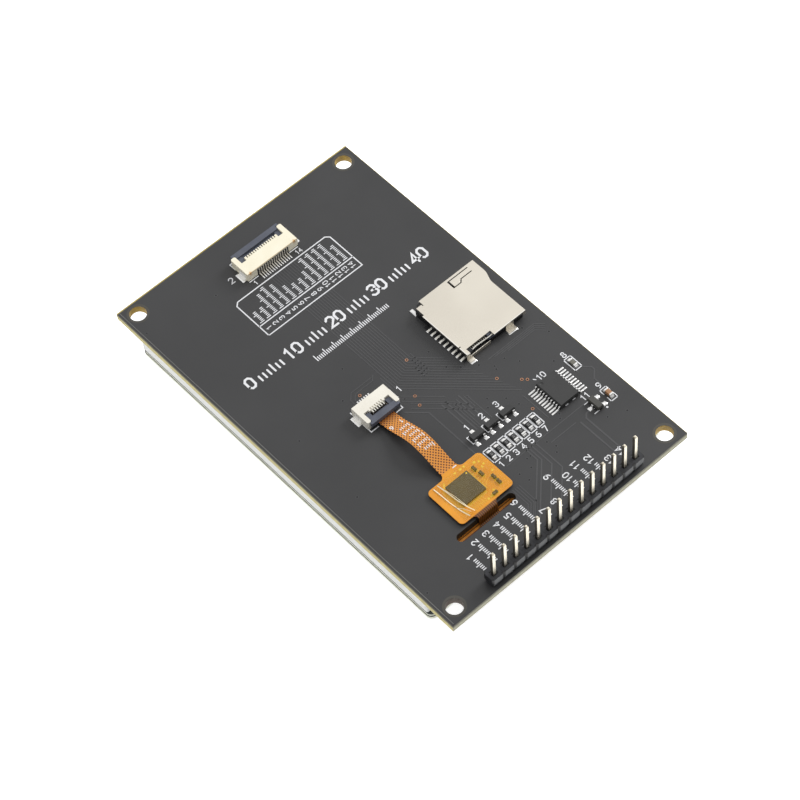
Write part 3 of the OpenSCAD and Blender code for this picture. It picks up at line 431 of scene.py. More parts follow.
# from the row of resistors down to the header
for x, y, end_x in ((5.2, -30.6, -3.1), (5.75, -31.1, -2.4), (6.45, -32.9, -0.4), (7.3, -34.6, 2.6)):
    track((x, -27.9), (x, y), (end_x, y - (x - end_x)), width=0.24)
for i in range(4):
    track((-2.1 + i * 0.5, -32.2), (-2.1 + i * 0.5, -36.0 - i * 0.2), (-4.6 + i * 0.5, -38.5 - i * 0.2))
track((19.0, -29.6), (17.9, -29.6), (17.2, -30.3), (17.2, -38.6), width=0.3)
track((22.1, -21.2), (23.4, -21.2), (25.4, -23.2), (25.4, -23.9), (24.0, -25.3), (24.0, -26.2), width=0.26)
track((9.4, -29.7), (15.2, -29.7))
track((0.6, -27.9), (19.0, -27.9))
for i in range(4):
    low, right = -9.4 - i * 0.35, 24.5 - i * 0.3
    track((13.4 + i * 1.3, low), (right, low), (right + 1.4, low - 1.4))
track((-9.1, -1.9), (-9.1, 0.6), (-8.2, 1.5), (-4.2, 1.5), (-3.3, 2.4))
track((-9.7, -1.9), (-9.7, 1.1), (-8.6, 2.2), (-3.9, 2.2))
track_finish = surface("track_under_mask", rgb(76, 76, 77), rgb(66, 66, 68), 0.38, 0.48, patches=80, grain=9000,
                       bump=0.05, depth=0.01)
tracks.piece("copper_tracks", track_finish, "board_mask")

open_vias = [(-7.85, 0.75), (3.1, 0.6), (-1.0, -6.1), (-1.7, -8.1), (11.8, -13.4), (14.8, -16.6),
             (15.5, -17.3), (11.9, -22.4)]
closed_vias = [(-6.3, 7.15), (-10.75, 2.0), (-26.3, 37.5), (-12, 35.2), (-21.7, 1.0), (-22.1, -14.6), (-26.2, -36.9),
               (11.5, -9.1), (8.9, -7.2), (22.4, -8.6), (13.3, -11.2), (15.7, -11.2), (13.1, -11.9), (17.2, -13.5),
               (25.3, -12.5), (10.1, -17.6), (6.5, -16.8), (7.7, -15.3), (21.5, -17.7), (10.9, -20), (2.8, -12.5),
               (5.5, -12.6), (7.1, -0.8), (7.1, -5.4), (-2.7, -5.3), (14.5, -26.4), (13.9, -27.2), (4.1, -29.2),
               (4.9, -29.2), (8.9, -29.1), (1, -30.6), (3.4, -31), (9.5, -30.8), (8.7, -31.8), (1.4, -32.6),
               (20, -32.7), (23.4, -34.1)]
copper = surface("bare_copper", rgb(214, 160, 126), rgb(176, 124, 94), 0.3, 0.45, metallic=0.8)
# a flat dark disc in each via stands for its hole: painted shade
hole_shade = surface("via_hole", rgb(24, 24, 26), rgb(14, 14, 16), 0.5, 0.7)
rings, lips, holes = Pile(), Pile(), Pile()
for x, y in open_vias:
    rings.ring(x, y, 0.19, 0.3, sunk, top + 0.03)
    holes.disc(x, y, 0.2, sunk, top + 0.008)
for x, y in closed_vias:
    lips.ring(x, y, 0.19, 0.27, sunk, top + 0.012)
    holes.disc(x, y, 0.2, sunk, top + 0.008)
rings.piece("via_rings", copper, "solder")
lips.piece("via_lips", track_finish, "board_mask")
holes.piece("via_holes", hole_shade, "board_mask")
# a shallow step where the mask stops short of each mounting hole
clear = Pile()
for sx in (-1, 1):
    for sy in (-1, 1):
        clear.ring(sx * hole_x, sy * hole_y, 1.61, 2.1, sunk, top + 0.012, sides=40)
clear.piece("hole_lands", surface("hole_land", rgb(74, 72, 66), rgb(66, 64, 58), 0.4, 0.55), "board_mask")
# a thin pale line along the routed edge on two sides of the face: a painted highlight
rim = Pile()
rim_w = 0.26
rim.box(-side_x, side_x, -foot_y - rim_w, -foot_y, top - 0.03, top + 0.006)
rim.box(side_x - 0.3 * rim_w, side_x, foot_y, -foot_y - rim_w, top - 0.03, top + 0.006)
edge_highlight = surface("edge_highlight", rgb(190, 172, 96), rgb(158, 141, 76), 0.5, 0.65, patches=400, bump=0.2)
rim.piece("board_edge_highlight", edge_highlight, "board_mask")
# along one side a thin raised line of mask stands a little inside the edge; its pale colour is a painted highlight
swell = Pile()
swell.box(0.42 - side_x, 0.52 - side_x, foot_y + 0.4, -foot_y - 0.4, top - 0.03, top + 0.012)
mask_ridge_highlight = surface("mask_ridge_highlight", rgb(124, 124, 122), rgb(104, 104, 102), 0.4, 0.5, patches=80)
swell.piece("mask_swell", mask_ridge_highlight, "board_mask")


# ------------------------ printed marks
# White epoxy ink, screened on the mask: outlines, pin numbers and plain scales.
# It holds numerals and ruled marks only.
ink_z0, ink_z1 = top - 0.005, top + 0.045
ink = Pile()
DIGITS = {
    "0": [[(0, .2), (0, .8), (.18, 1), (.42, 1), (.6, .8), (.6, .2), (.42, 0), (.18, 0), (0, .2)]],
    "1": [[(.1, .78), (.34, 1), (.34, 0)]],
    "2": [[(0, .8), (.18, 1), (.42, 1), (.6, .82), (.6, .6), (0, 0), (.6, 0)]],
    "3": [[(0, .86), (.16, 1), (.44, 1), (.6, .84), (.6, .66), (.42, .52), (.2, .52)],
          [(.42, .52), (.6, .36), (.6, .16), (.44, 0), (.16, 0), (0, .14)]],
    "4": [[(.46, 0), (.46, 1), (0, .3), (.62, .3)]],
    "5": [[(.56, 1), (.06, 1), (.04, .56), (.4, .6), (.6, .42), (.6, .18), (.42, 0), (.16, 0), (0, .12)]],
    "6": [[(.5, 1), (.2, .86), (0, .5), (0, .18), (.16, 0), (.44, 0), (.6, .18), (.6, .4), (.44, .56), (.14, .56),
           (0, .4)]],
    "7": [[(0, 1), (.6, 1), (.24, 0)]],
    "8": [[(.3, .53), (.06, .68), (.06, .86), (.2, 1), (.4, 1), (.54, .86), (.54, .68), (.3, .53)],
          [(.3, .53), (0, .36), (0, .14), (.16, 0), (.44, 0), (.6, .14), (.6, .36), (.3, .53)]],
    "9": [[(.1, 0), (.4, .14), (.6, .5), (.6, .82), (.44, 1), (.16, 1), (0, .82), (0, .6), (.16, .44), (.46, .44),
           (.6, .6)]],
}


def numeral(pile, text, x, y, height, width=0.16, turn=0, z0=ink_z0, z1=ink_z1, anchor=0.5):
    """Plain numerals, drawn with round strokes; (x, y) is the middle of their line at that anchor."""
    pitch = 0.84 * height
    run = pitch * (len(text) - 1) + 0.6 * height
    spin = Matrix.Rotation(math.radians(turn), 2)
    for i, sign in enumerate(text):
        for line in DIGITS[sign]:
            pile.stroke([Vector((x, y)) + spin @ Vector((u * height + i * pitch - run * anchor, (v - 0.5) * height))
                         for u, v in line], width, z0, z1)


def outline(pile, x0, x1, y0, y1, width):
    """A ruled rectangle."""
    for a, b in (((x0, y0), (x1, y0)), ((x1, y0), (x1, y1)), ((x1, y1), (x0, y1)), ((x0, y1), (x0, y0))):
        pile.stroke([a, b], width, ink_z0, ink_z1)


def line(*points, width=0.2):
    ink.stroke(points, width, ink_z0, ink_z1)


def graduations(pile, x, y, length, turn, height=1.0, width=0.17, pitch=0.36, z0=ink_z0, z1=ink_z1):
    """A ruled scale that starts at (x, y): every fifth bar is full height, the rest are shorter."""
    aim = Vector((math.cos(math.radians(turn)), math.sin(math.radians(turn))))
    side = Vector((-aim.y, aim.x))
    for i in range(int(length / pitch)):
        foot = Vector((x, y)) + aim * (i + 0.5) * pitch - side * height / 2
        pile.stroke([foot, foot + side * height * (1 if i % 5 == 0 else 0.6)], width, z0, z1, caps=False)


# round the wide socket
line((-4.9, 38.6), (-5.8, 38.6), (-5.8, 37.1))
line((-5.7, 33.1), (-3.7, 33.1))
line((3.8, 33.1), (5.7, 33.1))
numeral(ink, "1", -5.0, 32.25, 0.85)
numeral(ink, "14", 5.2, 32.2, 0.85)
numeral(ink, "2", -7.9, 35.7, 1.25, 0.2)
# the table of its ways
line((-10.9, 21.75), (11.4, 21.75), (11.4, 30.6), (10.7, 31.25), (-10.2, 31.25), (-10.9, 30.6), (-10.9, 21.75),
     width=0.22)
line((-10.9, 24.35), (11.4, 24.35), width=0.22)
scale_length = [3.0, 3.0, 5.6, 6.4, 5.6, 3.6, 2.9, 2.9, 3.6, 6.2, 6.2, 6.4, 6.2, 4.6]
for i in range(14):
    x = -9.75 + 1.524 * i
    numeral(ink, str(i + 1), x, 23.05, 0.95, 0.16, turn=90)
    graduations(ink, x, 24.7, scale_length[i], 90)
# a bold millimetre scale with plain numerals, and a fine one
for i in range(5):
    numeral(ink, str(i * 10), -20 + i * 10, 16.2, 2.3, 0.44)
for i in range(41):
    if min(i % 10, 10 - i % 10) > (2 if i > 4 else 1):
        line((-20 + i, 15.1), (-20 + i, 16.9 if i % 5 == 0 else 16.3), width=0.36)
graduations(ink, -8.4, 12.1, 17.2, 0, height=1.5, width=0.2, pitch=0.43)
# round the narrow socket
line((-11.5, -0.9), (-11.5, -1.9))
line((-11.5, -4.2), (-11.5, -6.4), (-9.8, -6.4))
line((-5.6, -6.4), (-4.15, -6.4), (-4.15, -5.75))
numeral(ink, "1", -2.0, -3.0, 1.15, 0.18)
white_ink = surface("white_ink", rgb(240, 241, 243), rgb(224, 225, 228), 0.55, 0.75, grain=12000, bump=0.15, depth=0.01)
ink.piece("printed_marks_sockets", white_ink, "board_mask")



def middle_of(node):
    """The middle of a node's box, in mm."""
    return [(a + b) / 2 / mm for a, b in zip(*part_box(node))]


# outlines and numerals of the small parts
ink = Pile()
for i, x in enumerate((1.08, 4.55, 8.05)):
    line((x - 1.1, -18.9), (x - 1.58, -18.9), (x - 1.58, -20.6), (x - 1.2, -20.6), width=0.18)
    numeral(ink, str(i + 1), x - 0.1, -17.25, 1.1, 0.2)
for i in range(8):
    x, y, z = middle_of("resistor_%d" % (i + 1))
    outline(ink, x - 0.78, x + 0.78, y - 1.5, y + 1.5, 0.19)
    numeral(ink, str(i + 1), x, y - 2.5 if i < 7 else y + 2.4, 1.1, 0.2)
for ends in (((22.8, -30.85), (22.8, -29.8)), ((24.3, -30.85), (24.3, -29.8)), ((22.8, -28.9), (22.8, -27.85)),
             ((24.3, -28.9), (24.3, -27.85)), ((22.8, -27.85), (24.3, -27.85)), ((22.8, -30.85), (24.3, -30.85)),
             ((16.2, -18.0), (16.5, -18.4)), ((16.5, -25.95), (17.0, -25.95)), ((18.2, -25.95), (18.7, -25.95)),
             ((18.9, -28.1), (20.0, -28.1)), ((18.9, -30.7), (20.0, -30.7))):
    line(*ends, width=0.18)
for text, x, y in (("9", 23.5, -26.9), ("10", 17.7, -18.4), ("11", 20.2, -26.9)):
    numeral(ink, text, x, y, 1.1, 0.2)
ink.disc(21.4, -31.2, 0.2, ink_z0, ink_z1)
# pin numbers of the header, each at the far end of a scale as long as its name would be
pin_pitch = 2.54
label_end = [-36.4, -34.9, -34.9, -34.9, -34.9, -33.8, -38.3, -38.3, -33.9, -35.9, -35.0, -35.9, -38.4, -38.4]
for i, end in enumerate(label_end):
    x = (i - 6.5) * pin_pitch + 0.15
    number_length = 1.7 if i > 8 else 0.95
    numeral(ink, str(i + 1), x, end, 1.15, 0.2, turn=90, anchor=1)
    graduations(ink, x, -41.2, end - number_length + 41.1, 90, height=1.15, width=0.2, pitch=0.4)
ink.piece("printed_marks_parts", white_ink, "board_mask")


# ------------------------ solder and pads
# Tinned copper pads under every lead, with the solder drawn up against the metal.
tin = surface("bright_solder", rgb(252, 251, 248), rgb(226, 226, 226), 0.2, 0.34, patches=500, grain=3000, bump=0.08,
              metallic=0.85)
pads = Pile()


def pad(x, y, w, l, height=0.07):
    """Solder on one pad, w by l, with its corners drawn in."""
    pads.mound(x - w / 2, x + w / 2, y - l / 2, y + l / 2, sunk, top + height, min(w, l) * 0.3)


wide_low, wide_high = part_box("wide_socket")
wide_x = middle_of("wide_socket")[0]
way_pitch = 0.5                      # of both cable sockets
for i in range(14):
    pad(wide_x + (i - 6.5) * way_pitch, wide_low.y / mm - 0.72, 0.24, 1.5)
narrow_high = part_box("narrow_socket")[1]
narrow_x = middle_of("narrow_socket")[0]
for i in range(6):
    pad(narrow_x + (i - 2.5) * way_pitch, narrow_high.y / mm + 0.72, 0.3, 1.5)
for sign in (-1, 1):
    pad(wide_x + sign * 6.15, wide_low.y / mm + 1.6, 1.3, 2.3)
    pad(narrow_x + sign * 3.95, narrow_high.y / mm - 1.6, 1.3, 2.3)
chip_x, chip_y, chip_z = middle_of("logic_chip")
for i in range(10):
    for sign in (-1, 1):
        pad(chip_x + sign * 3.45, chip_y + (i - 4.5) * 0.65, 1.5, 0.36)
for x in (1.08, 4.55, 8.05):
    pad(x, -18.6, 0.8, 0.9)
    pad(x - 0.95, -21.1, 0.8, 0.9)
    pad(x + 0.95, -21.1, 0.8, 0.9)
for x, y in ((19.1, -29.4), (21.6, -28.45), (21.6, -30.35)):
    pad(x, y, 0.95, 0.8)
capped_parts = ["resistor_%d" % (i + 1) for i in range(8)] + ["supply_capacitor"]
for name in capped_parts:
    low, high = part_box(name)
    x, y, z = middle_of(name)
    rise = min(0.28, (high.z - low.z) / mm * 0.55)
    for sign in (-1, 1):
        pad(x, y + sign * 0.93, 0.84, 0.5, rise)
card_low, card_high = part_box("card_shell")
tail_y = [2.52 - i * 1.095 for i in range(9)]     # eight contacts and the card switch
for y in tail_y:
    pad(9.95, y, 0.5, 0.5, 0.05)
for x0, x1, y in ((13.2, 14.8, 8.0), (21.05, 22.65, 8.0), (19.9, 21.8, -7.75), (10.8, 11.9, -7.7)):
    pads.mound(x0 - 0.1, x1 + 0.1, y - 0.5, y + 0.5, sunk, top + 0.05, 0.15)
pads.mound(10.5, 11.3, 6.3, 8.1, sunk, top + 0.25, 0.2)
pads.piece("solder_pads", tin, "solder")


# ------------------------ pin header
# A row of square plated wires, pressed through a moulded strip of black nylon and
# soldered in plated holes from below.
nylon = surface("header_nylon", rgb(40, 41, 46), rgb(32, 33, 38), 0.38, 0.52, patches=500, grain=8000, bump=0.15)
# a lighter copy of the nylon for its front faces: painted light
lit_nylon_front = surface("header_front_lit", rgb(64, 66, 68), rgb(52, 54, 56), 0.4, 0.54, patches=500, grain=8000, bump=0.15)


# painted shade in the notches between the strip's cells and a painted shadow round each wire's foot; the joints between
# cells are dark too
row_y = foot_y + 1.8
for finish in (nylon, lit_nylon_front):
    tree = finish.node_tree
    x, y, z = place(tree)
    along = calc(tree, "PINGPONG", x, pin_pitch / 2 * mm)
    across = calc(tree, "ABSOLUTE", calc(tree, "SUBTRACT", y, row_y * mm))
    notch_shade = calc(tree, "MULTIPLY", ramp(tree, along, 0.38, 0.3), ramp(tree, across, 0.85, 0.95))
    joint = calc(tree, "MULTIPLY", ramp(tree, along, 0.07, 0.03), 0.7)
    foot_shadow = calc(tree, "MULTIPLY", ramp(tree, along, 0.76, 0.84), ramp(tree, across, 0.5, 0.42))
    tint(tree, calc(tree, "MAXIMUM", notch_shade, calc(tree, "MAXIMUM", joint, foot_shadow)), rgb(8, 8, 10))

plating = surface("pin_plating", rgb(244, 238, 220), rgb(234, 225, 204), 0.28, 0.38, patches=300, grain=9000,
                  bump=0.015, metallic=0.7)
# a darker copy of the plating for the pins' faces towards -x: painted shade
pin_side_shade = surface("shaded_pin_plating", rgb(126, 121, 110), rgb(96, 91, 82), 0.3, 0.42, patches=300, grain=9000,
                  bump=0.02, metallic=0.9)
# the nylon's front faces take the lighter copy, painted light; the pins' faces towards -x take the darker copy, painted
# shade
for node, finish, other, facing, slot in (("header_body", nylon, lit_nylon_front, Vector((0, -1, 0)), "black_nylon"),
                                          ("header_pins", plating, pin_side_shade, Vector((-1, 0, 0)), "pin_plating")):
    piece = dressed(node, finish, edge=0.04)
    piece.data.materials.append(other)
    for face in piece.data.polygons:
        face.material_index = int(face.normal.dot(facing) > 0.8)
dressed("header_solder", tin, edge=0)


# ------------------------ flat cable sockets
# Ivory heat resistant housings with fork contacts, a slate latch bar that turns on
# trunnions in the arms, and a tinned anchor in each side.
ivory = surface("ivory_moulding", rgb(253, 247, 226), rgb(246, 239, 214), 0.4, 0.56, patches=300, grain=7000, bump=0.12)
pale = surface("pale_moulding", rgb(244, 240, 228), rgb(234, 229, 216), 0.4, 0.56, patches=300, grain=7000, bump=0.12)
# the two injection gates left a warm mark near the corners of the tail side
tree = ivory.node_tree
x, y, z = place(tree)
gates = []
for gate in (wide_x - 5.2, wide_x + 5.2):
    across = calc(tree, "ABSOLUTE", calc(tree, "SUBTRACT", x, gate * mm))
    deep = calc(tree, "ABSOLUTE", calc(tree, "SUBTRACT", y, wide_low.y + 0.05 * mm))
    gates.append(ramp(tree, calc(tree, "ADD", across, deep), 0.5, 0))
high = ramp(tree, z, top + 1.0, top + 1.7)
tint(tree, calc(tree, "MULTIPLY", calc(tree, "ADD", *gates), high), rgb(206, 140, 48))
tint(tree, calc(tree, "MULTIPLY", calc(tree, "MULTIPLY", ramp(tree, z, top + 1.8, top + 1.97), 0.6),
                ramp(tree, y, wide_low.y / mm + 0.12, wide_low.y / mm + 0.02)), rgb(206, 160, 84))
# painted shade on the tail side's wall between the contacts, below its top; out is the way that it faces
for finish, middle, reach, wall, out in ((ivory, wide_x, 3.7, wide_low.y / mm, -1),
                                         (pale, narrow_x, 1.6, narrow_high.y / mm, 1)):
    tree = finish.node_tree
    x, y, z = place(tree)
    between = ramp(tree, calc(tree, "ABSOLUTE", calc(tree, "SUBTRACT", x, middle * mm)), reach + 0.05, reach - 0.05)
    low = calc(tree, "MULTIPLY", ramp(tree, z, top + 1.72, top + 1.62),
               ramp(tree, y, wall - out * 0.06, wall - out * 0.02))
    tint(tree, calc(tree, "MULTIPLY", between, low), rgb(34, 32, 28))
slate = surface("slate_moulding", rgb(92, 96, 108), rgb(76, 80, 92), 0.34, 0.48, patches=400, grain=8000, bump=0.15)
contact_tin = surface("contact_plating", rgb(252, 250, 243), rgb(236, 233, 222), 0.26, 0.38, bump=0.04, metallic=0.7)
anchor_tin = surface("anchor_tin", rgb(255, 255, 252), rgb(254, 251, 243), 0.3, 0.4, patches=500, bump=0.03)
# the wide socket's contacts end in the shade of its comb
shaded_tin = surface("shaded_contact", rgb(240, 236, 224), rgb(222, 217, 204), 0.3, 0.4, bump=0.04, metallic=0.5)
tree = shaded_tin.node_tree
tint(tree, ramp(tree, place(tree)[1], wide_high.y / mm - 1.95, wide_high.y / mm - 1.75), rgb(26, 26, 28))
for side, housing, finish in (("wide", ivory, shaded_tin), ("narrow", pale, contact_tin)):
    dressed(side + "_socket", housing, edge=0.04)
    dressed(side + "_latch", slate, edge=0.04)
    dressed(side + "_contacts", finish, edge=0.015, steps=1)
    dressed(side + "_anchors", anchor_tin, edge=0.03)
# each contact rises a little proud of the wall, out of its solder
risers = Pile()
for count, middle, wall, out in ((14, wide_x, wide_low.y / mm, -1), (6, narrow_x, narrow_high.y / mm, 1)):
    for i in range(count):
        x = middle + (i - (count - 1) / 2) * way_pitch
        y0, y1 = sorted((wall, wall + out * 0.12))
        risers.box(x - 0.1, x + 0.1, y0, y1, top + 0.16, top + 1.5)
risers.piece("contact_risers", shaded_tin, "contact_plating")


# ------------------------ memory card socket
# A punched and folded shell of bright sheet over a dark moulding; the slider,
# its spring and the cam wire show through the window at the near side.
shell_metal = surface("shell_sheet", rgb(227, 221, 208), rgb(221, 214, 201), 0.32, 0.4, patches=90, grain=9000,
                      bump=0.06, depth=0.01, metallic=0.9)
base_black = surface("card_base_moulding", rgb(20, 21, 24), rgb(14, 14, 17), 0.42, 0.56, grain=8000, bump=0.15)
dressed("card_shell", shell_metal, edge=0.07, steps=3)
base = dressed("card_base", base_black, edge=0.04)
# the base's high upper faces at the near side take the lighter slate: painted light on the lit tops of the dark
# moulding
base.data.materials.append(slate)
for face in base.data.polygons:
    if face.normal.z > 0.9 and face.center.z / mm > top + 1.2 and face.center.y / mm < -4.5:
        face.material_index = 1
# a low black flange of the base between the contact tails; its black also stands for the shade under the shell's edge,
# painted shade
flange = Pile()
ends = [3.6] + [y for t in tail_y for y in (t + 0.24, t - 0.24)] + [-6.9]
for y1, y0 in zip(ends[::2], ends[1::2]):
    flange.box(10.0, 10.74, y0, y1, top, top + 0.1)
flange.piece("card_base_flange", base_black, "slate_plastic")
switch_tail = Pile()
switch_tail.box(9.85, 10.74, tail_y[8] - 0.2, tail_y[8] + 0.2,
                lambda x, y: top + 0.015 + 0.2 * max(0, x - 10.2), lambda x, y: top + 0.135 + 0.2 * max(0, x - 10.2))
dressed("card_slider", slate, edge=0.04)
# a painted highlight along the sheet's folded edges
fold_glint = surface("fold_highlight", rgb(255, 253, 247), rgb(250, 246, 238), 0.3, 0.38, bump=0.03, metallic=1.0)
folds = Pile()
edge_x, edge_y, edge_z = card_low.x / mm, card_low.y / mm + 0.85, card_high.z / mm
for x0, x1, y0, y1 in ((edge_x, edge_x + 0.15, -7.15, -5.15), (edge_x, edge_x + 0.15, -4.85, 4.5),
                       (edge_x + 0.05, 11.3, edge_y, edge_y + 0.13), (17.15, 24.6, edge_y, edge_y + 0.13)):
    folds.box(x0 + 0.01, x1, y0 + 0.01, y1, edge_z - 0.06, edge_z + 0.005)
folds.piece("card_shell_fold_highlights", fold_glint, "shell_steel")
card_tin = surface("card_contact", rgb(252, 250, 242), rgb(240, 237, 226), 0.3, 0.42, bump=0.03, metallic=0.35)
dressed("card_contacts", card_tin, edge=0.02)
switch_tail.piece("card_switch_tail", card_tin, "contact_plating")
dressed("card_cam_wire", contact_tin, edge=0)
# the slider presses its spring together against the moulding; here the spring only gets a mesh of its own
spring = dressed("card_spring", contact_tin, edge=0)
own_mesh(spring)


# ------------------------ chips and small parts
# Transfer moulded epoxy bodies with tinned gull wing leads, and ceramic chips with
# a metal cap on each end.
epoxy = surface("chip_epoxy", rgb(52, 52, 52), rgb(44, 44, 44), 0.46, 0.6, patches=500, grain=9000, bump=0.25)
regulator_epoxy = surface("regulator_epoxy", rgb(74, 73, 68), rgb(64, 63, 59), 0.46, 0.6, patches=500, grain=9000,
                          bump=0.25)
pale_glaze = surface("pale_glaze", rgb(116, 114, 104), rgb(96, 95, 88), 0.3, 0.42)
resistor_glaze = surface("resistor_glaze", rgb(50, 50, 52), rgb(38, 38, 40), 0.3, 0.42)
tan_ceramic = surface("capacitor_ceramic", rgb(186, 142, 104), rgb(160, 116, 80), 0.5, 0.62)
for node in ("logic_chip", "regulator", "transistor_1", "transistor_2", "transistor_3"):
    dressed(node, regulator_epoxy if node == "regulator" else epoxy, edge=0.03)
for node in ("logic_leads", "regulator_leads", "transistor_leads"):
    dressed(node, tin, edge=0.02)
body_print = Pile()
cap_width = 0.26
for node in capped_parts:
    body = pale_glaze if node == "resistor_8" else resistor_glaze if node.startswith("resistor") else tan_ceramic
    piece = dressed(node, body, edge=0.03)
    piece.data.materials.append(tin)
    low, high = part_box(node)
    x, y, z = middle_of(node)
    for face in piece.data.polygons:
        if abs(face.center.y / mm - y) > (high.y - low.y) / 2 / mm - cap_width:
            face.material_index = 1
    if body is resistor_glaze:      # a worn print of two bars on each of the row
        for bar_y in (y - 0.15, y + 0.15):
            body_print.box(x - 0.2, x + 0.2, bar_y - 0.07, bar_y + 0.07, high.z / mm - 0.02, high.z / mm + 0.004)
worn_print = surface("worn_print", rgb(150, 150, 148), rgb(96, 96, 96), 0.5, 0.6, patches=6000)
body_print.piece("resistor_prints", worn_print, "resistor_body")


# ------------------------ touch cable
# Two layers of amber polyimide over etched copper. Its wide end lies on a foam pad
# and carries the touch controller under clear yellow film tape.
film = surface("polyimide_film", rgb(236, 156, 62), rgb(214, 132, 46), 0.28, 0.4, patches=300, grain=7000, bump=0.1)
tree = film.node_tree
waves = calc(tree, "SINE", calc(tree, "MULTIPLY", place(tree)[1], math.pi / (0.3 * mm)))
tint(tree, calc(tree, "MULTIPLY_ADD", waves, 4, -2.2, clamp=True), rgb(96, 44, 12))
touch_film = surface("touch_film", rgb(240, 162, 28), rgb(224, 144, 20), 0.3, 0.42, patches=260, grain=7000, bump=0.08)
pad_low, pad_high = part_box("touch_pad_foam")
pad_x = middle_of("touch_pad_foam")[0]
pad_y0, pad_y1 = pad_low.y / mm - 0.7, pad_high.y / mm + 0.7
tree = touch_film.node_tree
x, y, z = place(tree)

# the tail is copper mesh: small square openings set cornerwise
wave = [calc(tree, "SINE", calc(tree, "MULTIPLY", axis, math.pi / (0.33 * mm))) for axis in (x, y)]
opening = calc(tree, "MULTIPLY_ADD", calc(tree, "MULTIPLY", *wave), 8, -2.1, clamp=True)
in_tail = calc(tree, "MULTIPLY", ramp(tree, y, pad_y1 + 0.7, pad_y1 + 0.9), ramp(tree, y, -5.2, -5.6))
tint(tree, calc(tree, "MULTIPLY", in_tail, 0.7), rgb(222, 142, 58))
tint(tree, calc(tree, "MULTIPLY", opening, in_tail), rgb(78, 30, 8))
# painted shadow on the tail where it leaves the socket's latch
tint(tree, calc(tree, "MULTIPLY", ramp(tree, y, -8.2, -6.4), 0.8), rgb(96, 44, 14))
# the neck is a bundle of fine tracks, and painted shade makes it browner where it folds down into the slot
lines = calc(tree, "MULTIPLY_ADD", calc(tree, "SINE", calc(tree, "MULTIPLY", x, math.pi / (0.2 * mm))), 0.12, 0.88)
tint(tree, calc(tree, "MULTIPLY", lines, ramp(tree, y, pad_y0 + 0.1, pad_y0 - 0.1)), rgb(60, 14, 2))
# its end in the socket lies in the dark of the mouth
tint(tree, ramp(tree, y, -6.3, -5.4), rgb(34, 20, 12))
shader = tree.nodes["Principled BSDF"]
shader.inputs["Coat Weight"].default_value = 0.25
shader.inputs["Coat Roughness"].default_value = 0.15
dressed("touch_flex", touch_film, edge=0)
black_foam = surface("pad_foam", rgb(40, 40, 40), rgb(28, 28, 28), 0.8, 0.95, grain=5000, bump=0.5)
dressed("touch_pad_foam", black_foam, edge=0.05)
dressed("touch_stiffener", film, edge=0.02)
olive = surface("touch_chip_epoxy", rgb(66, 68, 56), rgb(56, 58, 48), 0.4, 0.55, patches=400, grain=8000, bump=0.15)
dressed("touch_chip", olive, edge=0.03)
umber = surface("small_parts", rgb(96, 82, 44), rgb(70, 62, 34), 0.4, 0.5)
dressed("touch_capacitors", umber, edge=0.02)

# gold leads round the chip, gold lands and the finer tracks between them
gold = surface("gold_lands", rgb(252, 222, 84), rgb(236, 196, 52), 0.3, 0.42, bump=0.05, metallic=0.2)
chip_low, chip_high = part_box("touch_chip")
touch_z = chip_low.z / mm
x0, x1, y0, y1 = (v / mm for v in (chip_low.x, chip_high.x, chip_low.y, chip_high.y))
lands = Pile()
for i in range(16):
    u, v = x0 + 0.3 + i * 0.29, y0 + 0.3 + i * 0.29
    for a, b, c, d in ((u - 0.07, u + 0.07, y0 - 0.55, y0 - 0.02), (u - 0.07, u + 0.07, y1 + 0.02, y1 + 0.3),
                       (x0 - 0.3, x0 - 0.02, v - 0.07, v + 0.07), (x1 + 0.02, x1 + 0.4, v - 0.07, v + 0.07)):
        lands.box(a, b, c, d, touch_z - 0.005, touch_z + 0.012)
# bare lands, and the wider ones under the small parts, from the pad's corner
for x, y, w, l in ((1.3, 8.5, 0.55, 0.4), (2.1, 8.5, 0.4, 0.4), (0.1, 8.55, 0.5, 0.3), (4.0, 7.9, 0.5, 0.5),
                   (4.7, 7.5, 0.35, 0.5), (5.0, 6.6, 0.4, 0.4), (4.4, 6.3, 0.3, 0.5), (2.6, 1.5, 0.4, 0.4),
                   (1.5, 0.8, 0.5, 0.35), (0.8, 0.8, 0.35, 0.35), (5.2, 4.6, 0.4, 0.4), (3.05, 6.9, 0.7, 1.35),
                   (4.4, 3.4, 0.7, 1.35), (4.4, 2.1, 0.7, 1.35), (2.35, 0.85, 1.35, 0.7), (3.3, 5.3, 0.7, 1.35)):
    rise = 0.01 if max(w, l) > 1 else 0.012
    lands.box(pad_x + x - w / 2, pad_x + x + w / 2, pad_y0 + y - l / 2, pad_y0 + y + l / 2,
              touch_z - 0.005, touch_z + rise)
lands.disc(x1 - 0.4, y1 - 0.4, 0.16, chip_high.z / mm - 0.005, chip_high.z / mm + 0.008)
lands.piece("touch_lands", gold, "pin_plating")
wiring = Pile()


def wire(*points):
    wiring.stroke(points, 0.09, touch_z - 0.005, touch_z + 0.01)


for i in range(6):
    y, bend = y0 + 0.8 + i * 0.62, x1 + 0.1 * i
    wire((x1 + 0.35, y), (bend + 0.75, y), (bend + 1.2, y + 0.45), (x1 + 1.7, y + 0.55))
for i in range(7):
    x, bend = x0 + 0.5 + i * 0.5, y0 - 0.06 * i
    wire((x, y0 - 0.5), (x, bend - 0.9), (x + 0.5, bend - 1.4), (x + 0.5, y0 - 2.0))
for i in range(4):
    x = x0 - 0.35 - 0.2 * i
    wire((x, y0 - 1.6), (x, y1 - 0.6), (x + 0.25, y1 - 0.2), (x0 + 0.6, y1 + 0.8 + 0.1 * i))
covered_copper = surface("covered_copper", rgb(250, 206, 70), rgb(232, 180, 50), 0.3, 0.4)
wiring.piece("touch_wiring", covered_copper, "polyimide")

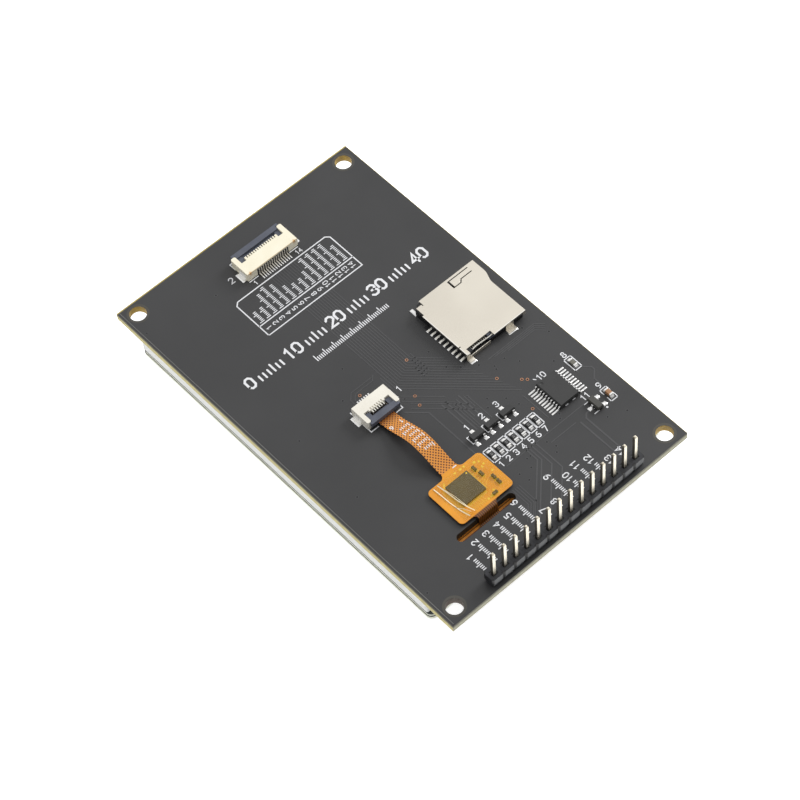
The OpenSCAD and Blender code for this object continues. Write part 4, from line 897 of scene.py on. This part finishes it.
tape = surface("film_tape", rgb(214, 172, 50), rgb(196, 152, 40), 0.1, 0.18, patches=250, grain=1500, bump=0.2)
shader = tape.node_tree.nodes["Principled BSDF"]
shader.inputs["Alpha"].default_value = 0.07
shader.inputs["Coat Weight"].default_value = 1.0
shader.inputs["Coat Roughness"].default_value = 0.08
dressed("touch_tape", tape, edge=0)


def top_of(node):
    """A function that gives the height of a node's upper face at a place, in mm."""
    work = bmesh.new()
    work.from_mesh(nodes[node].data)
    tree = BVHTree.FromBMesh(work)
    work.free()

    def height(x, y):
        found = tree.ray_cast(Vector((x * mm, y * mm, 0.03)), Vector((0, 0, -1)))[0]
        return found.z / mm if found else touch_z
    return height


# the tape is creased where it steps down beside the chip; the creases carry a painted highlight
on_tape = top_of("touch_tape")
crease_low, crease_high = (lambda x, y: on_tape(x, y) - 0.005), (lambda x, y: on_tape(x, y) + 0.025)
creases = Pile()
for run, width in (([(-11.95, -22.95), (-11.85, -24.5), (-11.75, -27), (-11.5, -29.2), (-11.1, -31.2)], 0.19),
                   ([(-11.05, -22.95), (-10.85, -25), (-10.7, -27.5), (-10.4, -29.6), (-9.9, -31.2)], 0.17),
                   ([(-10.8, -24.5), (-10.5, -26.5), (-10.4, -28), (-10.25, -29.8)], 0.07),
                   ([(-11.7, -28.2), (-11.0, -29.4), (-10.5, -30.9)], 0.07)):
    for a, b in zip(run, run[1:]):
        for i in range(6):
            p, q = (Vector(a).lerp(Vector(b), t / 6) for t in (i, i + 1))
            creases.stroke([p, q], width, crease_low, crease_high, caps=False)
# a painted highlight along the creases
tape_crease_glint = surface("tape_crease_glint", rgb(255, 244, 214), rgb(252, 226, 170), 0.2, 0.3)
creases.piece("tape_creases", tape_crease_glint, "polyimide_tape")

# white print on the tail: the numbers of its first and last way, and ruled marks
on_tail = top_of("touch_flex")
print_low, print_high = (lambda x, y: on_tail(x, y) - 0.01), (lambda x, y: on_tail(x, y) + 0.02)
marks = Pile()
numeral(marks, "6", -8.9, -8.9, 0.8, 0.16, 180, print_low, print_high)
numeral(marks, "1", -6.7, -8.9, 0.8, 0.16, 180, print_low, print_high)
for i, count in enumerate((5, 6, 5, 6, 6, 5)):
    graduations(marks, -6.3 + i * 0.03, -10.6 - i * 1.25, count * 0.42, 180, 0.85, 0.17, 0.42, print_low, print_high)
marks.stroke([(-6.6, -22.0), (-5.9, -22.0)], 0.2, print_low, print_high)
marks.piece("cable_print", white_ink, "board_mask")


# ------------------------ display and cover glass
# The cell and its films sit in a white frame behind the touch sensor; black ink is
# printed round the back of the cover glass. Foam tape holds the stack to the board.
def glass(name, colour):
    """A clear material; its rough edges take another."""
    made = surface(name, colour, colour, 0.03, 0.07, bump=0.0)
    shader = made.node_tree.nodes["Principled BSDF"]
    shader.inputs["Transmission Weight"].default_value = 0.85
    shader.inputs["IOR"].default_value = 1.52
    return made


clear_glass = glass("cover_glass", rgb(226, 238, 240))
cell_glass = glass("cell_glass", rgb(214, 226, 228))
ground_edge = surface("ground_edge", rgb(230, 232, 216), rgb(212, 214, 196), 0.45, 0.6, patches=300, bump=0.2)
border = surface("border_ink", rgb(18, 18, 20), rgb(12, 12, 14), 0.2, 0.3)
polariser = surface("polariser_film", rgb(34, 36, 40), rgb(26, 28, 32), 0.16, 0.24)
white_frame = surface("white_polycarbonate", rgb(220, 221, 220), rgb(206, 207, 205), 0.4, 0.55)
milk_film = surface("optical_film", rgb(236, 240, 244), rgb(226, 230, 236), 0.25, 0.35)
white_foam = surface("tape_foam", rgb(234, 234, 230), rgb(218, 218, 214), 0.7, 0.9, grain=5000, bump=0.4)
lamp_finish = surface("lamp_package", rgb(236, 222, 140), rgb(240, 236, 220), 0.4, 0.5)
for node, finish, slot in (
        ("cover_lens", clear_glass, "clear_glass"), ("lens_border", border, "border_ink"),
        ("lens_bond", clear_glass, "clear_glass"), ("touch_sensor", clear_glass, "clear_glass"),
        ("gasket", black_foam, "foam"), ("front_polariser", polariser, "polariser_film"),
        ("front_glass", cell_glass, "clear_glass"), ("rear_glass", cell_glass, "clear_glass"),
        ("rear_polariser", polariser, "polariser_film"), ("prism_film", milk_film, "optical_film"),
        ("diffuser", milk_film, "optical_film"), ("light_guide", milk_film, "light_acrylic"),
        ("reflector", white_frame, "optical_film"), ("backlight_frame", white_frame, "white_plastic"),
        ("leds", lamp_finish, "lamp"), ("led_flex", film, "polyimide"), ("driver_chip", epoxy, "chip_epoxy"),
        ("panel_flex", film, "polyimide"), ("mounting_tape", white_foam, "white_foam")):
    edge = {"cover_lens": 0.08, "touch_sensor": 0.03, "backlight_frame": 0.05, "mounting_tape": 0.04}.get(node, 0)
    piece = dressed(node, finish, edge=edge)
    if finish in (clear_glass, cell_glass):
        piece.data.materials.append(ground_edge)
        for face in piece.data.polygons:
            face.material_index = int(abs(face.normal.z) < 0.6)


# ------------------------ floor, light and camera
# A plain white table in a bright tent, with one soft box at the side. The object
# lies on its cover glass.
table_mesh = bpy.data.meshes.new("table")
reach, table_z = 2.0, -0.0002
table_mesh.from_pydata([(x * reach, y * reach, table_z) for x, y in ((-1, -1), (1, -1), (1, 1), (-1, 1))],
                       [], [(0, 1, 2, 3)])
table = placed("table", table_mesh)
table_finish = surface("white_table", rgb(250, 250, 250), rgb(248, 248, 248), 0.8, 0.9, patches=5, grain=500, bump=0.02)
shader = table_finish.node_tree.nodes["Principled BSDF"]
shader.inputs["Emission Color"].default_value = (1, 1, 1, 1)
shader.inputs["Emission Strength"].default_value = 0.75
table_mesh.materials.append(table_finish)
table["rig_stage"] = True

# the tent is brightest above and behind the object, and dim at its front
world = bpy.data.worlds.new("studio")
bpy.context.scene.world = world
world.use_nodes = True
tree = world.node_tree
where, aim = tree.nodes.new("ShaderNodeTexCoord"), tree.nodes.new("ShaderNodeVectorMath")
split, glow = tree.nodes.new("ShaderNodeSeparateXYZ"), tree.nodes.new("ShaderNodeMapRange")
aim.operation = "DOT_PRODUCT"
aim.inputs[1].default_value = (0.25, 0.53, 0.81)
tree.links.new(where.outputs["Generated"], aim.inputs[0])
tree.links.new(where.outputs["Generated"], split.inputs[0])
for label, value in (("From Min", -0.3), ("From Max", 0.95), ("To Min", 0.35), ("To Max", 0.95)):
    glow.inputs[label].default_value = value
tree.links.new(aim.outputs["Value"], glow.inputs["Value"])
below = calc(tree, "MULTIPLY", calc(tree, "LESS_THAN", split.outputs["Z"], 0), 0.7)
background = tree.nodes["Background"]
background.inputs["Color"].default_value = (1, 1, 1, 1)
tree.links.new(calc(tree, "MAXIMUM", glow.outputs["Result"], below), background.inputs["Strength"])
lamp = bpy.data.lights.new("soft_box", "AREA")
lamp.energy = 5.0
lamp.size = 0.3
soft_box = placed("soft_box", lamp)
soft_box.location = (0.78, 0.05, 0.45)
soft_box.rotation_mode = "QUATERNION"
soft_box.rotation_quaternion = (-soft_box.location).to_track_quat("-Z", "Y")

# the camera stands off from a point on the board, and leans a little
azimuth, elevation, roll = (math.radians(v) for v in (-37.171, 55.973, -5.933))
aim_x, aim_y, stand_off = -3.429, -4.878, 494.646
back = Vector((math.sin(azimuth) * math.cos(elevation), -math.cos(azimuth) * math.cos(elevation), math.sin(elevation)))
right = (-back).cross(Vector((0, 0, 1))).normalized()
up = right.cross(-back).normalized()
tilted_right = math.cos(roll) * right + math.sin(roll) * up
tilted_up = -math.sin(roll) * right + math.cos(roll) * up
lens = bpy.data.cameras.new("camera")
lens.lens = 127.27
lens.sensor_width = 36
lens.clip_start, lens.clip_end = 0.01, 10
camera = placed("camera", lens)
eye = Vector((aim_x, aim_y, top)) * mm + back * stand_off * mm
camera.matrix_world = Matrix([[axis[i] for axis in (tilted_right, tilted_up, back, eye)] for i in range(3)]
                             + [[0, 0, 0, 1]])
bpy.context.scene.camera = camera
bpy.context.scene.view_settings.view_transform = "Standard"

low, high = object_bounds()
